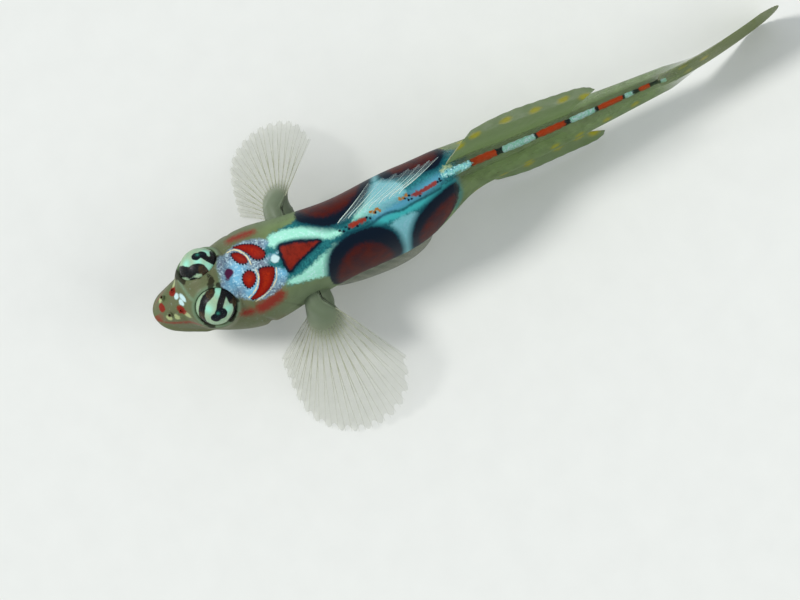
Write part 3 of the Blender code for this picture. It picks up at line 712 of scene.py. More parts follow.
def rounded(outline, closed=True, parts=5):
    """A smooth curve through the corners of an outline or line."""
    corners = np.array(outline, float)
    if closed:
        ring = [np.roll(corners, shift, axis=0) for shift in (1, 0, -1, -2)]
    else:
        longer = np.concatenate([corners[:1], corners, corners[-1:]])
        ring = [longer[k : len(longer) - 3 + k] for k in range(4)]
    t = np.arange(parts)[None, :, None] / parts
    before, start, end, after = (points[:, None] for points in ring)
    curve = start + 0.5 * t * (end - before)
    curve = curve + t * t * (before - 2.5 * start + 2 * end - 0.5 * after)
    curve = curve + t**3 * (1.5 * start - 1.5 * end + 0.5 * after - 0.5 * before)
    curve = curve.reshape(-1, corners.shape[1])
    return curve if closed else np.concatenate([curve, corners[-1:]])


def distance_to(station, across, start, end):
    """The distance of each place to the straight line from start to end."""
    s, g = station - start[0], across - start[1]
    ds, dg = end[0] - start[0], end[1] - start[1]
    share = np.clip((s * ds + g * dg) / (ds * ds + dg * dg + 1e-12), 0, 1)
    return np.hypot(s - share * ds, g - share * dg)


def depth_inside(station, across, outline):
    """How deep each place lies inside a rounded outline, in millimetres, and how far along its edge."""
    corners = rounded(outline) * (1, ANGLE_WIDTH)
    nearest = np.full(station.shape, 1e9)
    along = np.zeros(station.shape)
    inside = np.zeros(station.shape, bool)
    walked = 0.0
    for (s0, g0), (s1, g1) in zip(corners, np.roll(corners, -1, axis=0)):
        ds, dg = s1 - s0, g1 - g0
        length = math.hypot(ds, dg) + 1e-9
        share = np.clip(((station - s0) * ds + (across - g0) * dg) / length**2, 0, 1)
        away = np.hypot(station - s0 - share * ds, across - g0 - share * dg)
        along = np.where(away < nearest, walked + share * length, along)
        nearest = np.minimum(nearest, away)
        crosses = (g0 > across) != (g1 > across)
        at = s0 + (across - g0) * ds / (dg if dg else 1e-9)
        inside ^= crosses & (station < at)
        walked += length
    return np.where(inside, nearest, -nearest), along


def distance_to_line(station, across, line):
    """The distance of each place to a line through several places."""
    return np.min([distance_to(station, across, start, end) for start, end in zip(line, line[1:])], axis=0)


def depth_in_stroke(station, across, line, half_width):
    """How deep each place lies inside a stroke along a line of (station, angle) places."""
    return half_width - distance_to_line(station, across, rounded(line, closed=False) * (1, ANGLE_WIDTH))


def depth_in_spots(points, spots, radius):
    """How deep each point lies inside round spots on the skin."""
    centres = [body_point(np.float64(s), math.radians(a)) for s, a in spots]
    return radius - np.min([np.linalg.norm(points - centre, axis=-1) for centre in centres], axis=0)


def eye_plane(points, left):
    """Places seen along an eye's axis: back and out from its centre, and the height above it."""
    out, back, side = eye_axes(left)
    local = points - eye_centre(left)
    return local @ back, local @ side, local @ out


def marking_fields(station, angle, points):
    """The named values that paint the skin, from each point's own place on the body."""
    across = np.degrees(angle) * ANGLE_WIDTH
    height = points[..., 2]
    low = (1 - np.cos(angle)) / 2

    def areas(outlines):
        return np.max([depth_inside(station, across, outline)[0] for outline in outlines], axis=0)

    def strokes(lines, half_width):
        return np.max([depth_in_stroke(station, across, line, half_width) for line in lines], axis=0)

    fields = {name: areas(outlines) for name, outlines in AREAS.items()}
    fields |= {name: strokes(*lines) for name, lines in STROKES.items()}
    fields |= {name: depth_in_spots(points, *spots) for name, spots in SPOTS.items()}
    fields["white_spot"] = np.maximum(fields["white_spot"], areas([DIAMOND]))
    fields["blush"] = np.max([strokes(*lines) for lines in BLUSHES], axis=0)
    marks = [depth_inside(station, across, outline) for outline in NAPE_MARKS]
    depths = np.array([depth for depth, _ in marks])
    nearest = np.argmax(depths, axis=0)[None]
    fields["nape_red"] = depths.max(axis=0)
    fields["nape_along"] = np.take_along_axis(np.array([along for _, along in marks]), nearest, axis=0)[0]

    sky_span = smooth_step(*SKY_STARTS, station) * (1 - smooth_step(*SKY_ENDS, station))
    fields["sky"] = bump(np.degrees(angle) - SKY_ANGLE, SKY_WIDTH) * sky_span
    fields["rearward"] = smooth_step(*REARWARD, station)
    fields["clear"] = clear_share(station, angle)
    fields["head_share"] = 1 - smooth_step(*HEAD_ENDS, station)
    fields["belly"] = smooth_step(*BELLY_SHARE, low) * (1 - smooth_step(*BELLY_ENDS, station))
    from_lobe = np.hypot((station - LOBE_STATION) * LOBE_SQUEEZE, np.abs(across) - LOBE_ACROSS)
    fields["lobe"] = bump(from_lobe, LOBE_RADIUS)
    # Painted shade along the edge of the gill cover and in its groove
    curve = GILL_GROOVE_CURVE * (height - CHEEK_HEIGHT) ** 2
    gill_edge_shade = bump(station - GILL_EDGE + curve, GILL_EDGE_WIDTH)
    gill_shade = GILL_SHADE * bump(station - GILL_GROOVE_STATION + curve, GILL_SHADE_WIDTH)
    fields["gill"] = (gill_edge_shade + gill_shade) * bump(height - CHEEK_HEIGHT, GILL_EDGE_HALF_HEIGHT)
    from_gills = np.hypot((station - GILLS_STATION) / GILLS_LENGTH, (height - GILLS_HEIGHT) / GILLS_DEPTH)
    fields["gills"] = bump(from_gills, GILLS_RADIUS)
    slanted = station + MUSCLE_SLANT * np.abs(np.cos(angle))
    fields["muscle"] = np.cos(slanted * 2 * math.pi / MUSCLE_PITCH) * smooth_step(*MUSCLE_STARTS, station)
    # Painted shade in the groove of the mouth
    in_mouth = 1 - smooth_step(*GROOVE_ENDS, station)
    fields["groove"] = bump(height - mouth_line(station), GROOVE_WIDTH) * in_mouth

    stripe = np.full(station.shape, -1.0)
    rim = np.zeros(station.shape)
    for left in (1, -1):
        back, side, out = eye_plane(points, left)
        near = out > EYE_SKIN_DEPTH
        for line, half_width in RIM_STRIPES[left]:
            depth = half_width - distance_to_line(back, side, rounded(line, closed=False))
            stripe = np.where(near, np.maximum(stripe, depth), stripe)
        rim = np.maximum(rim, bump(np.hypot(back, side) - RIM_RADIUS, RIM_WIDTH) * near)
    return fields | {"stripe": stripe, "rim": rim}


def clear_share(station, angle):
    """How clear the skin is: the tail is clear above and at its sides, from the slanting end of the belly."""
    low = (1 - np.cos(angle)) / 2
    start = CLEAR_START - CLEAR_SLANT * low
    tail = smooth_step(start + CLEAR_FADE[0], start + CLEAR_FADE[1], station)
    above = FLESH_CLEAR + (WINDOW_CLEAR - FLESH_CLEAR) * bump(angle - WINDOW_ANGLE, WINDOW_WIDTH)
    clear = tail * above * (1 - BELLY_SOLID * smooth_step(*BELLY_SOLID_FROM, low))
    clear = clear + (END_CLEAR - clear) * smooth_step(*END_STARTS, station)
    return clear + (1 - clear) * smooth_step(*END_FADES, station)


# Rings and points of the skin
SKIN_AROUND = 240
CROWDED_ABOVE = 0.38
NOSE_RINGS = 34
HEAD_STEP = 0.028
TRUNK_START = 5.0
TRUNK_STEP = 0.05
TAIL_START = 11.6
TAIL_STEP = 0.1

# The rounded end of the tail's flesh: (station, share of the width, share of the height)
TAIL_CAP = ((19.6, 0.9, 0.99), (19.85, 0.76, 0.96), (20.15, 0.6, 0.93), (20.5, 0.43, 0.9), (20.9, 0.27, 0.86),
            (21.3, 0.12, 0.8))


def skin_stations():
    nose = NOSE_LENGTH * (1 - np.cos(np.linspace(0, math.pi / 2, NOSE_RINGS)))
    head = np.arange(NOSE_LENGTH + HEAD_STEP, TRUNK_START, HEAD_STEP)
    trunk = np.arange(TRUNK_START, TAIL_START, TRUNK_STEP)
    tail = np.arange(TAIL_START, STANDARD_LENGTH, TAIL_STEP)
    return np.concatenate([nose[1:], head, trunk, tail, [STANDARD_LENGTH]])


# Nostrils, as short tubes: (station, share of the side, height)
NOSTRILS = ((0.55, 0.42, 0.13), (0.95, 0.4, 0.05))
NOSTRIL_PROFILE = ((1.35, -0.12), (1.2, 0.0), (1.0, 0.35), (0.92, 0.85), (0.82, 1.0), (0.66, 1.0),
                   (0.52, 0.9), (0.46, 0.3), (0.05, 0.1))
NOSTRIL_RADIUS = 0.08
NOSTRIL_BORE = 0.52
NOSTRIL_SIDES = 28
NOSTRIL_OUTWARD = 0.35
NOSTRIL_FORWARD = 0.5


def nostril_tube(station, share, height, left):
    """The points of a short tube that stands on the snout."""
    foot = body_point(np.float64(station), left * math.asin(share))
    axis = np.array([NOSTRIL_OUTWARD * left, -NOSTRIL_FORWARD, 1.0])
    axis /= np.linalg.norm(axis)
    across = np.cross(axis, (0, 1, 0))
    across /= np.linalg.norm(across)
    other = np.cross(axis, across)
    turns = turns_round(NOSTRIL_SIDES)[None, :, None]
    radius = NOSTRIL_RADIUS * np.array([r for r, _ in NOSTRIL_PROFILE])[:, None, None]
    rise = np.array([h * height if h >= 0 else h for _, h in NOSTRIL_PROFILE])[:, None, None]
    points = foot + rise * axis + radius * (np.cos(turns) * across + np.sin(turns) * other)
    return points.reshape(-1, 3)


def make_skin(colours):
    even = np.linspace(-math.pi, math.pi, SKIN_AROUND, endpoint=False)
    angles = even - CROWDED_ABOVE * np.sin(even)
    station, angle = np.meshgrid(skin_stations(), angles, indexing="ij")
    bare = body_point(station, angle)
    edge = np.cross(np.roll(bare, -1, axis=1) - np.roll(bare, 1, axis=1), np.gradient(bare, axis=0))
    normal = edge / np.maximum(np.linalg.norm(edge, axis=-1, keepdims=True), 1e-12)
    outward = np.sign(np.sum(normal * (bare - bare.mean(axis=1, keepdims=True)), axis=-1, keepdims=True))
    points = with_lids(bare + normal * outward * relief(bare)[..., None])
    fields = marking_fields(station, angle, bare)
    rows = [points]
    centre = bend_at(STANDARD_LENGTH)
    level = (back_at(STANDARD_LENGTH) + belly_at(STANDARD_LENGTH)) / 2
    for cap_station, width, height in TAIL_CAP:
        row = points[-1].copy()
        beyond = (cap_station - STANDARD_LENGTH) / CAUDAL["length"]
        lean = CAUDAL["lean"] * beyond * (level - row[:, 2]) / (CAUDAL["top"] - CAUDAL["foot"])
        side = centre - CAUDAL["bend"] * beyond**CAUDAL_BEND_POWER - CAUDAL["lean"] * beyond / 2 - lean
        sunk = math.tan(math.radians(CAUDAL["tilt"])) * (cap_station - STANDARD_LENGTH)
        row[:, 0] = side + (row[:, 0] - centre) * width
        row[:, 1] = cap_station
        row[:, 2] = level - sunk + (row[:, 2] - level) * height
        rows.append(row[None])
        fields = {name: np.concatenate([values, values[-1:]]) for name, values in fields.items()}
        fields["clear"][-1] = clear_share(np.full(SKIN_AROUND, cap_station), angles)
    points = np.concatenate(rows)
    count = points.shape[0]
    flat = np.concatenate([points.reshape(-1, 3), [[bend_at(0.0), 0, NOSE_HEIGHT]]])
    faces = grid_faces(count, SKIN_AROUND)
    last = len(flat) - 1
    faces += [(j, last, (j + 1) % SKIN_AROUND) for j in range(SKIN_AROUND)]
    start = (count - 1) * SKIN_AROUND
    half = SKIN_AROUND // 2
    for j in range(half - 1):
        faces.append((start + j, start + j + 1, start + SKIN_AROUND - 2 - j, start + SKIN_AROUND - 1 - j))
    values = {name: np.append(field.ravel(), field[0, half]) for name, field in fields.items()}
    for size in NOSTRILS:
        for left in (1, -1):
            tube = nostril_tube(*size, left)
            nostril_faces = tube_faces(len(NOSTRIL_PROFILE), NOSTRIL_SIDES)
            faces += [tuple(len(flat) + corner for corner in face) for face in nostril_faces]
            flat = np.concatenate([flat, tube])
            tube_fields = marking_fields(tube[:, 1], np.full(len(tube), left * math.asin(size[1])), tube)
            # Painted shade inside the bores of the nostrils
            tube_fields["groove"] = np.repeat([r <= NOSTRIL_BORE for r, _ in NOSTRIL_PROFILE], NOSTRIL_SIDES)
            values = {name: np.append(values[name], tube_fields[name]) for name in values}
    return mesh_object("skin", flat, faces, skin_material(colours), values)


# How soft and how ragged the edge of each marking is
EDGES = {
    "yellow": (0.09, 0.04), "ridge": (0.02, 0.05), "stripe": (0.03, 0.04), "blush": (0.17, 0.08),
    "pale_spot": (0.04, 0.04), "azure": (0.3, 0.1), "nape": (0.07, 0.06), "cyan": (0.09, 0.06),
    "blue_line": (0.05, 0.03), "bright": (0.09, 0.07), "ground": (0.09, 0.08), "glow": (0.12, 0.05),
    "blotch": (0.05, 0.05), "maroon": (0.14, 0.07), "plum": (0.04, 0.04), "snout_red": (0.03, 0.05),
    "nape_red": (0.012, 0.015), "cream": (0.012, 0.02), "orange": (0.04, 0.06), "gold": (0.02, 0.05),
    "dash": (0.05, 0.14), "lime": (0.06, 0.08), "specks": (0.02, 0.02), "white_spot": (0.03, 0.02),
}
TRIANGLE_EDGE = (0.03, 0.04)
TRIANGLE_FACE = (0.05, 0.04)
TRIANGLE_MARGIN = (0.04, -0.05)

# Where a texture or a field brings in its paint and where it is full
SHADE = (0.38, 0.66)
FRECKLE_SIZE = (0.2, 0.1)
FRECKLE_PLACES = (0.5, 0.6)
PATCH_SPARKLE = (0.02, 0.3, 0.25, 0.8)
BLOTCH_SHADOW = (-0.26, -0.01)
TRIANGLE_SHADOW = (-0.16, -0.02)
NAPE_WARMTH = (0.04, 0.2)
BEADS_OFF_CREAM = (-0.02, -0.06)

# Layers of paint on the skin, from the ground up: the field, its colour and its strength
HEAD_LAYERS = (
    ("stripe", "eye_dark", 0.85),
    ("blush", "blush", 0.88),
    ("pale_spot", "pale", 0.85),
)
GLOW_LAYERS = (("glow", "teal", 0.65), ("blotch", "night", 1.0))
RED_LAYERS = (("plum", "plum", 1.0), ("snout_red", "red", 0.9))
LAST_LAYERS = (("lime", "pale", 0.7), ("specks", "night", 1.0))


def skin_material(colours):
    looks = {"Roughness": 0.42, "Coat Weight": 0.05, "Specular IOR Level": 0.14}
    material, nodes, shader = material_with("Wet skin", looks)
    grain = nodes.group(skin_relief_group(), {"Scale": 1.0})
    mottle = grain["Mottle"]
    ripples = {"Height": grain["Height"], "Strength": GRAIN_STRENGTH, "Distance": GRAIN_HEIGHT}
    nodes.feed(shader["Normal"], nodes.add("ShaderNodeBump", ripples))

    def times(first, second):
        return nodes.math("MULTIPLY", first, second)

    def mask(field):
        return edge_mask(nodes, field, *EDGES[field])

    def layer(under, factor, over, strength=1.0):
        return nodes.mix(factor if strength == 1.0 else times(factor, strength), under, over)

    def layers(under, rows):
        for field, paint, strength in rows:
            under = layer(under, mask(field), getattr(colours, paint), strength)
        return under

    fleck = flecks(nodes, 1.0, 0.3)
    speckled, spark = fleck["Fleck"], fleck["Spark"]
    shade = nodes.ramp(mottle, *SHADE)

    painted = nodes.mix(nodes.field("head_share"), colours.flesh, colours.head)
    painted = layer(painted, shade, scaled(colours.flesh, 0.5), 0.5)
    segments = nodes.math("MULTIPLY", nodes.field("muscle"), 0.12, clamp=True)
    painted = layer(painted, segments, scaled(colours.flesh, 1.7))
    painted = layer(painted, nodes.field("belly"), colours.belly, 0.75)
    dots = nodes.ramp(nodes.cells(FRECKLES)["Distance"], *FRECKLE_SIZE)
    painted = layer(painted, times(dots, nodes.ramp(mottle, *FRECKLE_PLACES)), colours.brown, 0.55)
    yellow = mask("yellow")
    painted = layer(painted, yellow, colours.yellow, 0.8)
    painted = layer(painted, mask("ridge"), colours.brown, 0.7)
    painted = layer(painted, nodes.field("rim"), colours.eye_green, 0.3)
    painted = layer(painted, times(nodes.field("gills"), shade), colours.blush, 0.38)
    painted = layer(painted, nodes.field("lobe"), colours.lobe, 0.85)
    # Painted shade: a dark line along the edge of the gill cover and in its groove
    painted = layer(painted, nodes.field("gill"), scaled(colours.head, 0.3), 0.7)
    sparse = times(flecks(nodes, 1.05, 0.045)["Spark"], nodes.field("head_share"))
    painted = layer(painted, sparse, colours.sparkle, 0.6)
    painted = layers(painted, HEAD_LAYERS)

    nape = nodes.mix(times(speckled, 0.42), colours.nape, colours.sparkle)
    nape = layer(nape, shade, colours.plum, 0.3)
    nape = layer(nape, mask("azure"), colours.azure, 0.65)
    nape = layer(nape, spark, colours.sparkle, 0.55)
    painted = nodes.mix(mask("nape"), painted, nape)

    back = nodes.mix(speckled, colours.teal, colours.deep)
    back = layer(back, nodes.field("sky"), colours.sky, 0.9)
    back = layer(back, mask("cyan"), scaled(colours.teal, 1.7), 0.9)
    back = layer(back, mask("blue_line"), colours.deep, 0.8)
    inside = nodes.ramp(nodes.field("bright"), *PATCH_SPARKLE)
    shining = nodes.mix(times(spark, inside), colours.mint, colours.sparkle)
    shining = layer(shining, nodes.math("MULTIPLY", inside, shade, clamp=True), colours.sparkle, 0.2)
    shining = layer(shining, nodes.field("rearward"), scaled(colours.azure, 0.55), 0.66)
    back = nodes.mix(mask("bright"), back, shining)
    back = layer(back, nodes.ramp(nodes.field("blotch"), *BLOTCH_SHADOW), colours.deep, 0.92)
    back = layer(back, nodes.ramp(nodes.field("brick"), *TRIANGLE_SHADOW), colours.deep, 0.85)
    painted = nodes.mix(mask("ground"), painted, back)
    painted = layers(painted, GLOW_LAYERS)

    inner = nodes.mix(times(shade, 0.5), colours.maroon, colours.night)
    painted = nodes.mix(mask("maroon"), painted, inner)
    wider, narrower = [nodes.math("ADD", nodes.field("brick"), margin) for margin in TRIANGLE_MARGIN]
    painted = layer(painted, edge_mask(nodes, wider, *TRIANGLE_EDGE), colours.night)
    worn = layer(colours.brick, times(speckled, shade), colours.maroon, 0.9)
    painted = nodes.mix(edge_mask(nodes, narrower, *TRIANGLE_FACE), painted, worn)
    painted = layers(painted, RED_LAYERS)
    warm = times(nodes.ramp(nodes.field("nape_red"), *NAPE_WARMTH), speckled)
    red = layer(layer(colours.red, shade, colours.maroon, 0.45), warm, colours.orange, 0.6)
    painted = nodes.mix(mask("nape_red"), painted, red)
    painted = layer(painted, mask("cream"), colours.cream)
    beads = {"Depth": nodes.field("nape_red"), "Along": nodes.field("nape_along")}
    off_cream = nodes.ramp(nodes.field("cream"), *BEADS_OFF_CREAM)
    painted = layer(painted, times(nodes.group(bead_group(), beads)[0], off_cream), colours.night)
    dull = nodes.mix(speckled, colours.brick, scaled(colours.orange, 0.6))
    painted = layer(painted, mask("orange"), dull, 0.92)
    painted = layer(painted, mask("gold"), colours.gold)
    dash = layer(nodes.mix(speckled, scaled(colours.azure, 0.6), colours.mint), spark, colours.sparkle, 0.9)
    dash_mask = mask("dash")
    painted = nodes.mix(dash_mask, painted, dash)
    painted = layers(painted, LAST_LAYERS)
    painted = layer(painted, mask("white_spot"), scaled(colours.sparkle, 0.8))
    # Painted shade in the groove of the mouth and in the bores of the nostrils
    painted = layer(painted, nodes.field("groove"), scaled(colours.blush, 0.25), 0.8)
    nodes.feed(shader["Base Color"], painted)
    solid = nodes.math("SUBTRACT", 1.0, nodes.field("clear"), clamp=True)
    solid = nodes.math("MAXIMUM", solid, times(yellow, 0.75))
    nodes.feed(shader["Alpha"], nodes.math("MAXIMUM", solid, dash_mask))
    return material


# The line of dashes inside the clear flesh: its radius, its heights, and the kind, start and end of each dash
SPINE_START = 10.9
SPINE_END = STANDARD_LENGTH - 0.05
SPINE_STEP = 0.02
SPINE_SIDES = 20
SPINE_RADIUS = 0.15
SPINE_TAPER = 0.48
SPINE_KNOB = 19.25
SPINE_KNOB_RISE = 0.04
SPINE_KNOB_WIDTH = 0.2
DASH_END = 0.25
DASH_EDGE = (0.025, 0.06)
DASH_SWELL = 0.14
JOINT_SWELL = 0.06
JOINT_PITCH = 0.29
SPINE_HEIGHT = ((10.9, 3.0), (12, 2.72), (14, 2.45), (17, 2.1), (19.4, 1.85))
SPINE_MARKS = {
    "white": ((10.9, 11.98), (13.2, 14.38), (15.74, 16.66), (17.8, 18.1), (19.15, 19.4)),
    "orange": ((12.05, 12.97), (14.5, 15.54), (16.8, 17.72), (18.35, 18.75)),
}

spine_height_at = smooth_through(SPINE_HEIGHT)


def make_spine_line(colours):
    """The line of dashes along the backbone that shows through the tail."""
    stations = np.arange(SPINE_START, SPINE_END, SPINE_STEP)
    station, turn = np.meshgrid(stations, turns_round(SPINE_SIDES), indexing="ij")
    marks = {
        kind: np.max([np.minimum(station - start, end - station) for start, end in spans], axis=0)
        for kind, spans in SPINE_MARKS.items()
    }
    radius = SPINE_RADIUS * (1 - SPINE_TAPER * (station - SPINE_START) / (STANDARD_LENGTH - SPINE_START))
    radius += SPINE_KNOB_RISE * bump(station - SPINE_KNOB, SPINE_KNOB_WIDTH)
    fuller = np.clip(np.maximum(marks["white"], marks["orange"]) / DASH_END, -0.4, 1)
    twist = np.sin(station * 2 * math.pi / JOINT_PITCH + 2 * turn)
    radius *= 1 - DASH_SWELL + DASH_SWELL * fuller + JOINT_SWELL * twist
    height = spine_height_at(station) + radius * np.cos(turn)
    points = np.stack([bend_at(station) + radius * np.sin(turn), station, height], -1)
    material, nodes, shader = material_with("Backbone line", {"Roughness": 0.4})
    shining = nodes.mix(flecks(nodes, 1.0, 0.6)["Spark"], colours.mint, colours.sparkle)
    painted = nodes.mix(edge_mask(nodes, "white", *DASH_EDGE), colours.night, shining)
    painted = nodes.mix(edge_mask(nodes, "orange", *DASH_EDGE), painted, colours.orange)
    nodes.feed(shader["Base Color"], painted)
    return mesh_object("backbone_line", points, tube_faces(len(stations), SPINE_SIDES), material, marks)


LINING_INSET = 0.16
LINING_SIDES = 64
LINING_ROWS = 60
LINING_START = 4.9
LINING_SLANT = 1.35
LINING_END_POWER = 6
LINING_FRONT = 0.1
LINING_OPENS = 8


def make_lining(colours):
    """The dark silvery lining of the belly, whose slanting end shows where the clear tail begins."""
    turns = np.linspace(-math.pi, math.pi, LINING_SIDES, endpoint=False)
    share, turn = np.meshgrid(np.linspace(0, 1, LINING_ROWS), turns, indexing="ij")
    end = CLEAR_START - LINING_SLANT * (1 - np.cos(turn)) / 2
    station = LINING_START + (end - LINING_START) * np.sin(share * math.pi / 2)
    close = np.sqrt(np.clip(1 - share**LINING_END_POWER, 0, 1))
    close *= np.clip(share * LINING_OPENS + LINING_FRONT, 0, 1)
    outer = body_point(station, turn, -LINING_INSET)
    middle = np.stack([bend_at(station), station, (back_at(station) + belly_at(station)) / 2 + 0 * turn], -1)
    points = middle + (outer - middle) * close[..., None]
    material, nodes, shader = material_with("Belly lining", {"Coat Weight": 0.2})
    nodes.feed(shader["Base Color"], nodes.mix(flecks(nodes, 0.8, 0.3)["Fleck"], colours.deep, colours.teal))
    return mesh_object("belly_lining", points, tube_faces(LINING_ROWS, LINING_SIDES), material)


# Eyes
EYE_AROUND = 120
EYE_ROWS = 72
IRIS_RADIUS = 0.729
EYE_REACH = math.radians(112)
EYE_STRIPES = {
    1: (
        (((0.14, -0.74), (0.08, -0.63), (-0.25, -0.49), (-0.5, -0.13), (-0.58, 0.24), (-0.5, 0.44)), 0.1),
        (((0.55, -0.58), (0.49, -0.48), (0.27, -0.28), (0.08, -0.02)), 0.115),
        (((0.51, -0.47), (0.63, -0.16), (0.63, 0.2), (0.45, 0.45), (0.24, 0.6)), 0.085),
        (((0.6, -0.3), (0.62, -0.1)), 0.12),
    ),
    -1: (
        (((0.36, -0.24), (0.5, -0.37), (0.64, -0.24), (0.7, 0.06)), 0.105),
        (((-0.66, 0.06), (-0.52, -0.2), (-0.33, -0.44), (-0.03, -0.52), (0.15, -0.6), (0.14, -0.72)), 0.125),
        (((-0.44, -0.56), (-0.2, -0.7)), 0.04),
        (((-0.5, 0.45), (-0.15, 0.58), (0.3, 0.55), (0.6, 0.35)), 0.085),
    ),
}
PUPILS = {1: (((-0.1, 0.17), 0.18), ((0.11, 0.09), 0.22)), -1: (((0.14, -0.16), 0.16), ((0.34, -0.13), 0.14))}
RUST = {1: ((0.02, -0.6), (-0.55, 0.0), (0.6, 0.05)), -1: ((-0.03, -0.16), (0.12, -0.66), (0.0, 0.56))}
GLINTS = {1: (0.03, 0.02), -1: (0.2, -0.12)}
EYE_GREENS = {
    1: ((0.32, -0.6), (0.67, -0.34), (-0.22, -0.22), (0.38, 0.06)),
    -1: ((0.55, -0.44), (0.38, -0.58), (0.5, -0.05), (0.12, -0.38), (-0.3, -0.2)),
}


# Where the iris has no more stripes, how wide its soft lights are, and the eyes' own linear colours
STRIPES_END = -0.25
GREEN_WIDTH = 0.16
GLINT_WIDTH = 0.055
RUST_RADIUS = 0.16
IRIS_EDGES = {"rust": (0.05, 0.015), "stripe": (0.018, 0.015), "pupil": (0.012, 0.015)}
PUPIL_COLOUR = (0.002, 0.004, 0.008)
GLINT_COLOUR = (0.03, 0.22, 0.16)
CORNEA_COLOUR = (0.1, 0.16, 0.15)


def dome(left, radius, name, material, fields_at=None):
    """A dome of an eye from its top to past its middle, closed below."""
    out, back, side = eye_axes(left)
    falls = np.linspace(0, EYE_REACH, EYE_ROWS)[1:]
    fall, turn = np.meshgrid(falls, turns_round(EYE_AROUND), indexing="ij")
    rings = radius * np.stack([np.sin(fall) * np.cos(turn), np.sin(fall) * np.sin(turn), np.cos(fall)], -1)
    local = np.concatenate([rings.reshape(-1, 3), [[0, 0, radius], [0, 0, rings[-1, 0, 2]]]])
    points = eye_centre(left) + local @ np.stack([back, side, out])
    faces = grid_faces(len(falls), EYE_AROUND, flip=left < 0)
    top, foot = len(points) - 2, len(points) - 1
    last = (len(falls) - 1) * EYE_AROUND
    for j in range(EYE_AROUND):
        k = (j + 1) % EYE_AROUND
        cap = [(k, j, top), (last + j, last + k, foot)]
        faces += [face[::-1] if left < 0 else face for face in cap]
    fields = fields_at(local[:, 0], local[:, 1], local[:, 2]) if fields_at else None
    return mesh_object(name, points, faces, material, fields)


def iris_fields(left):
    """Gives the iris of one eye its stripes, pupil and green lights, seen along its axis."""

    def fields_at(back, side, height):
        def away_from(places):
            return np.min([np.hypot(back - b, side - s) for b, s in places], axis=0)

        lines = [(rounded(line, closed=False), half_width) for line, half_width in EYE_STRIPES[left]]
        stripes = [half_width - distance_to_line(back, side, line) for line, half_width in lines]
        pupil = np.max([radius - away_from([middle]) for middle, radius in PUPILS[left]], axis=0)
        low = height < 0
        return {
            "stripe": np.where(height < STRIPES_END, -1, np.max(stripes, axis=0)),
            "pupil": np.where(low, -1, pupil),
            "green": bump(away_from(EYE_GREENS[left]), GREEN_WIDTH),
            "glint": np.where(low, 0, bump(away_from([GLINTS[left]]), GLINT_WIDTH)),
            "rust": RUST_RADIUS - away_from(RUST[left]),
        }

    return fields_at


def make_eyes(colours):
    iris, nodes, shader = material_with("Iris", {"Roughness": 0.4, "Coat Weight": 0.05})
    fleck = flecks(nodes, 1.1, 0.25)["Fleck"]

    def mask(field):
        return edge_mask(nodes, field, *IRIS_EDGES[field])

    pale = nodes.mix(0.45, colours.eye_green, colours.cream)
    ground = nodes.mix(fleck, colours.eye_green, pale)
    ground = nodes.mix(nodes.field("green"), ground, colours.mint)
    brown_edge = nodes.mix(mask("rust"), colours.eye_dark, colours.brown)
    dark = nodes.mix(fleck, brown_edge, scaled(colours.night, 0.5))
    painted = nodes.mix(mask("stripe"), ground, dark)
    painted = nodes.mix(mask("pupil"), painted, PUPIL_COLOUR)
    painted = nodes.mix(nodes.field("glint"), painted, GLINT_COLOUR)
    nodes.feed(shader["Base Color"], painted)
    looks = {"Roughness": 0.03, "Coat Weight": 0.3, "Alpha": 0.02, "Base Color": CORNEA_COLOUR}
    cornea, _, _ = material_with("Cornea", looks)
    pieces = []
    for left, side_name in ((1, "left"), (-1, "right")):
        ball = dome(left, IRIS_RADIUS, f"iris_{side_name}", iris, iris_fields(left))
        pieces.append((ball, dome(left, EYE_RADIUS, f"cornea_{side_name}", cornea), f"eye_{side_name}"))
    return pieces


# Fins
pectoral_share_at = smooth_through(PECTORAL_SHARES)


def side_of_body(station, height, left):
    wide, middle, up, down = section(station)
    n = squareness_at(station)
    share = np.minimum(np.abs(height - middle) / np.where(height > middle, up, down), 0.99)
    return bend_at(station) + left * wide * (1 - share**n) ** (1 / n)


def median_fin_point(fin, upward):
    """Places of a fin on the back or belly: a from its first ray to its last, b from root to margin."""
    edge_at = back_at if upward > 0 else belly_at

    def point_at(a, b):
        station = fin["start"] + (fin["end"] - fin["start"]) * a
        lean = math.radians(fin["lean"]) * (LEAN_AT_BASE + LEAN_GAIN * b)
        outward = np.stack([-np.sin(lean), 0 * lean, np.cos(lean)], -1) * upward
        base = np.stack([bend_at(station), station, edge_at(station)], -1)
        base = base + outward * (SOLID_GAP + FIN_STANDS_OFF)
        slope = np.radians(fin["slope"] - fin["flatter"] * a)
        length = (fin["length"] - fin["shorter"] * a * a) * b
        along = np.cos(slope) * length
        follow = edge_at(station + along) - edge_at(station)
        shift = bend_at(station + along) - bend_at(station)
        lifted = base + np.stack([shift, along, FIN_FOLLOW * follow], -1)
        return lifted + outward * (np.sin(slope) * length)[..., None]

    def with_root(a, b):
        lean = math.radians(fin["lean"]) * LEAN_AT_BASE
        inward = np.array([math.sin(lean), 0, -math.cos(lean)]) * upward - np.array([0, ROOT_SLOPE, 0])
        sunk = (SOLID_GAP + FIN_STANDS_OFF + FIN_ROOT) * np.clip(-b / ROOT_REACH, 0, 1)
        return point_at(a, np.clip(b, 0, 1)) + inward * sunk[..., None]

    return with_root


CORNER = 0.3
FRONT_CUT = 0.26
REAR_CUT = 0.36


def with_round_corners(point_at):
    """The same fin with its first and last corners rounded off."""

    def rounded_point(a, b):
        front = np.clip(1 - a / CORNER, 0, 1) ** 2
        rear = np.clip(1 - (1 - a) / CORNER, 0, 1) ** 2
        return point_at(a, np.where(b > 0, b * (1 - FRONT_CUT * front - REAR_CUT * rear), b))

    return rounded_point


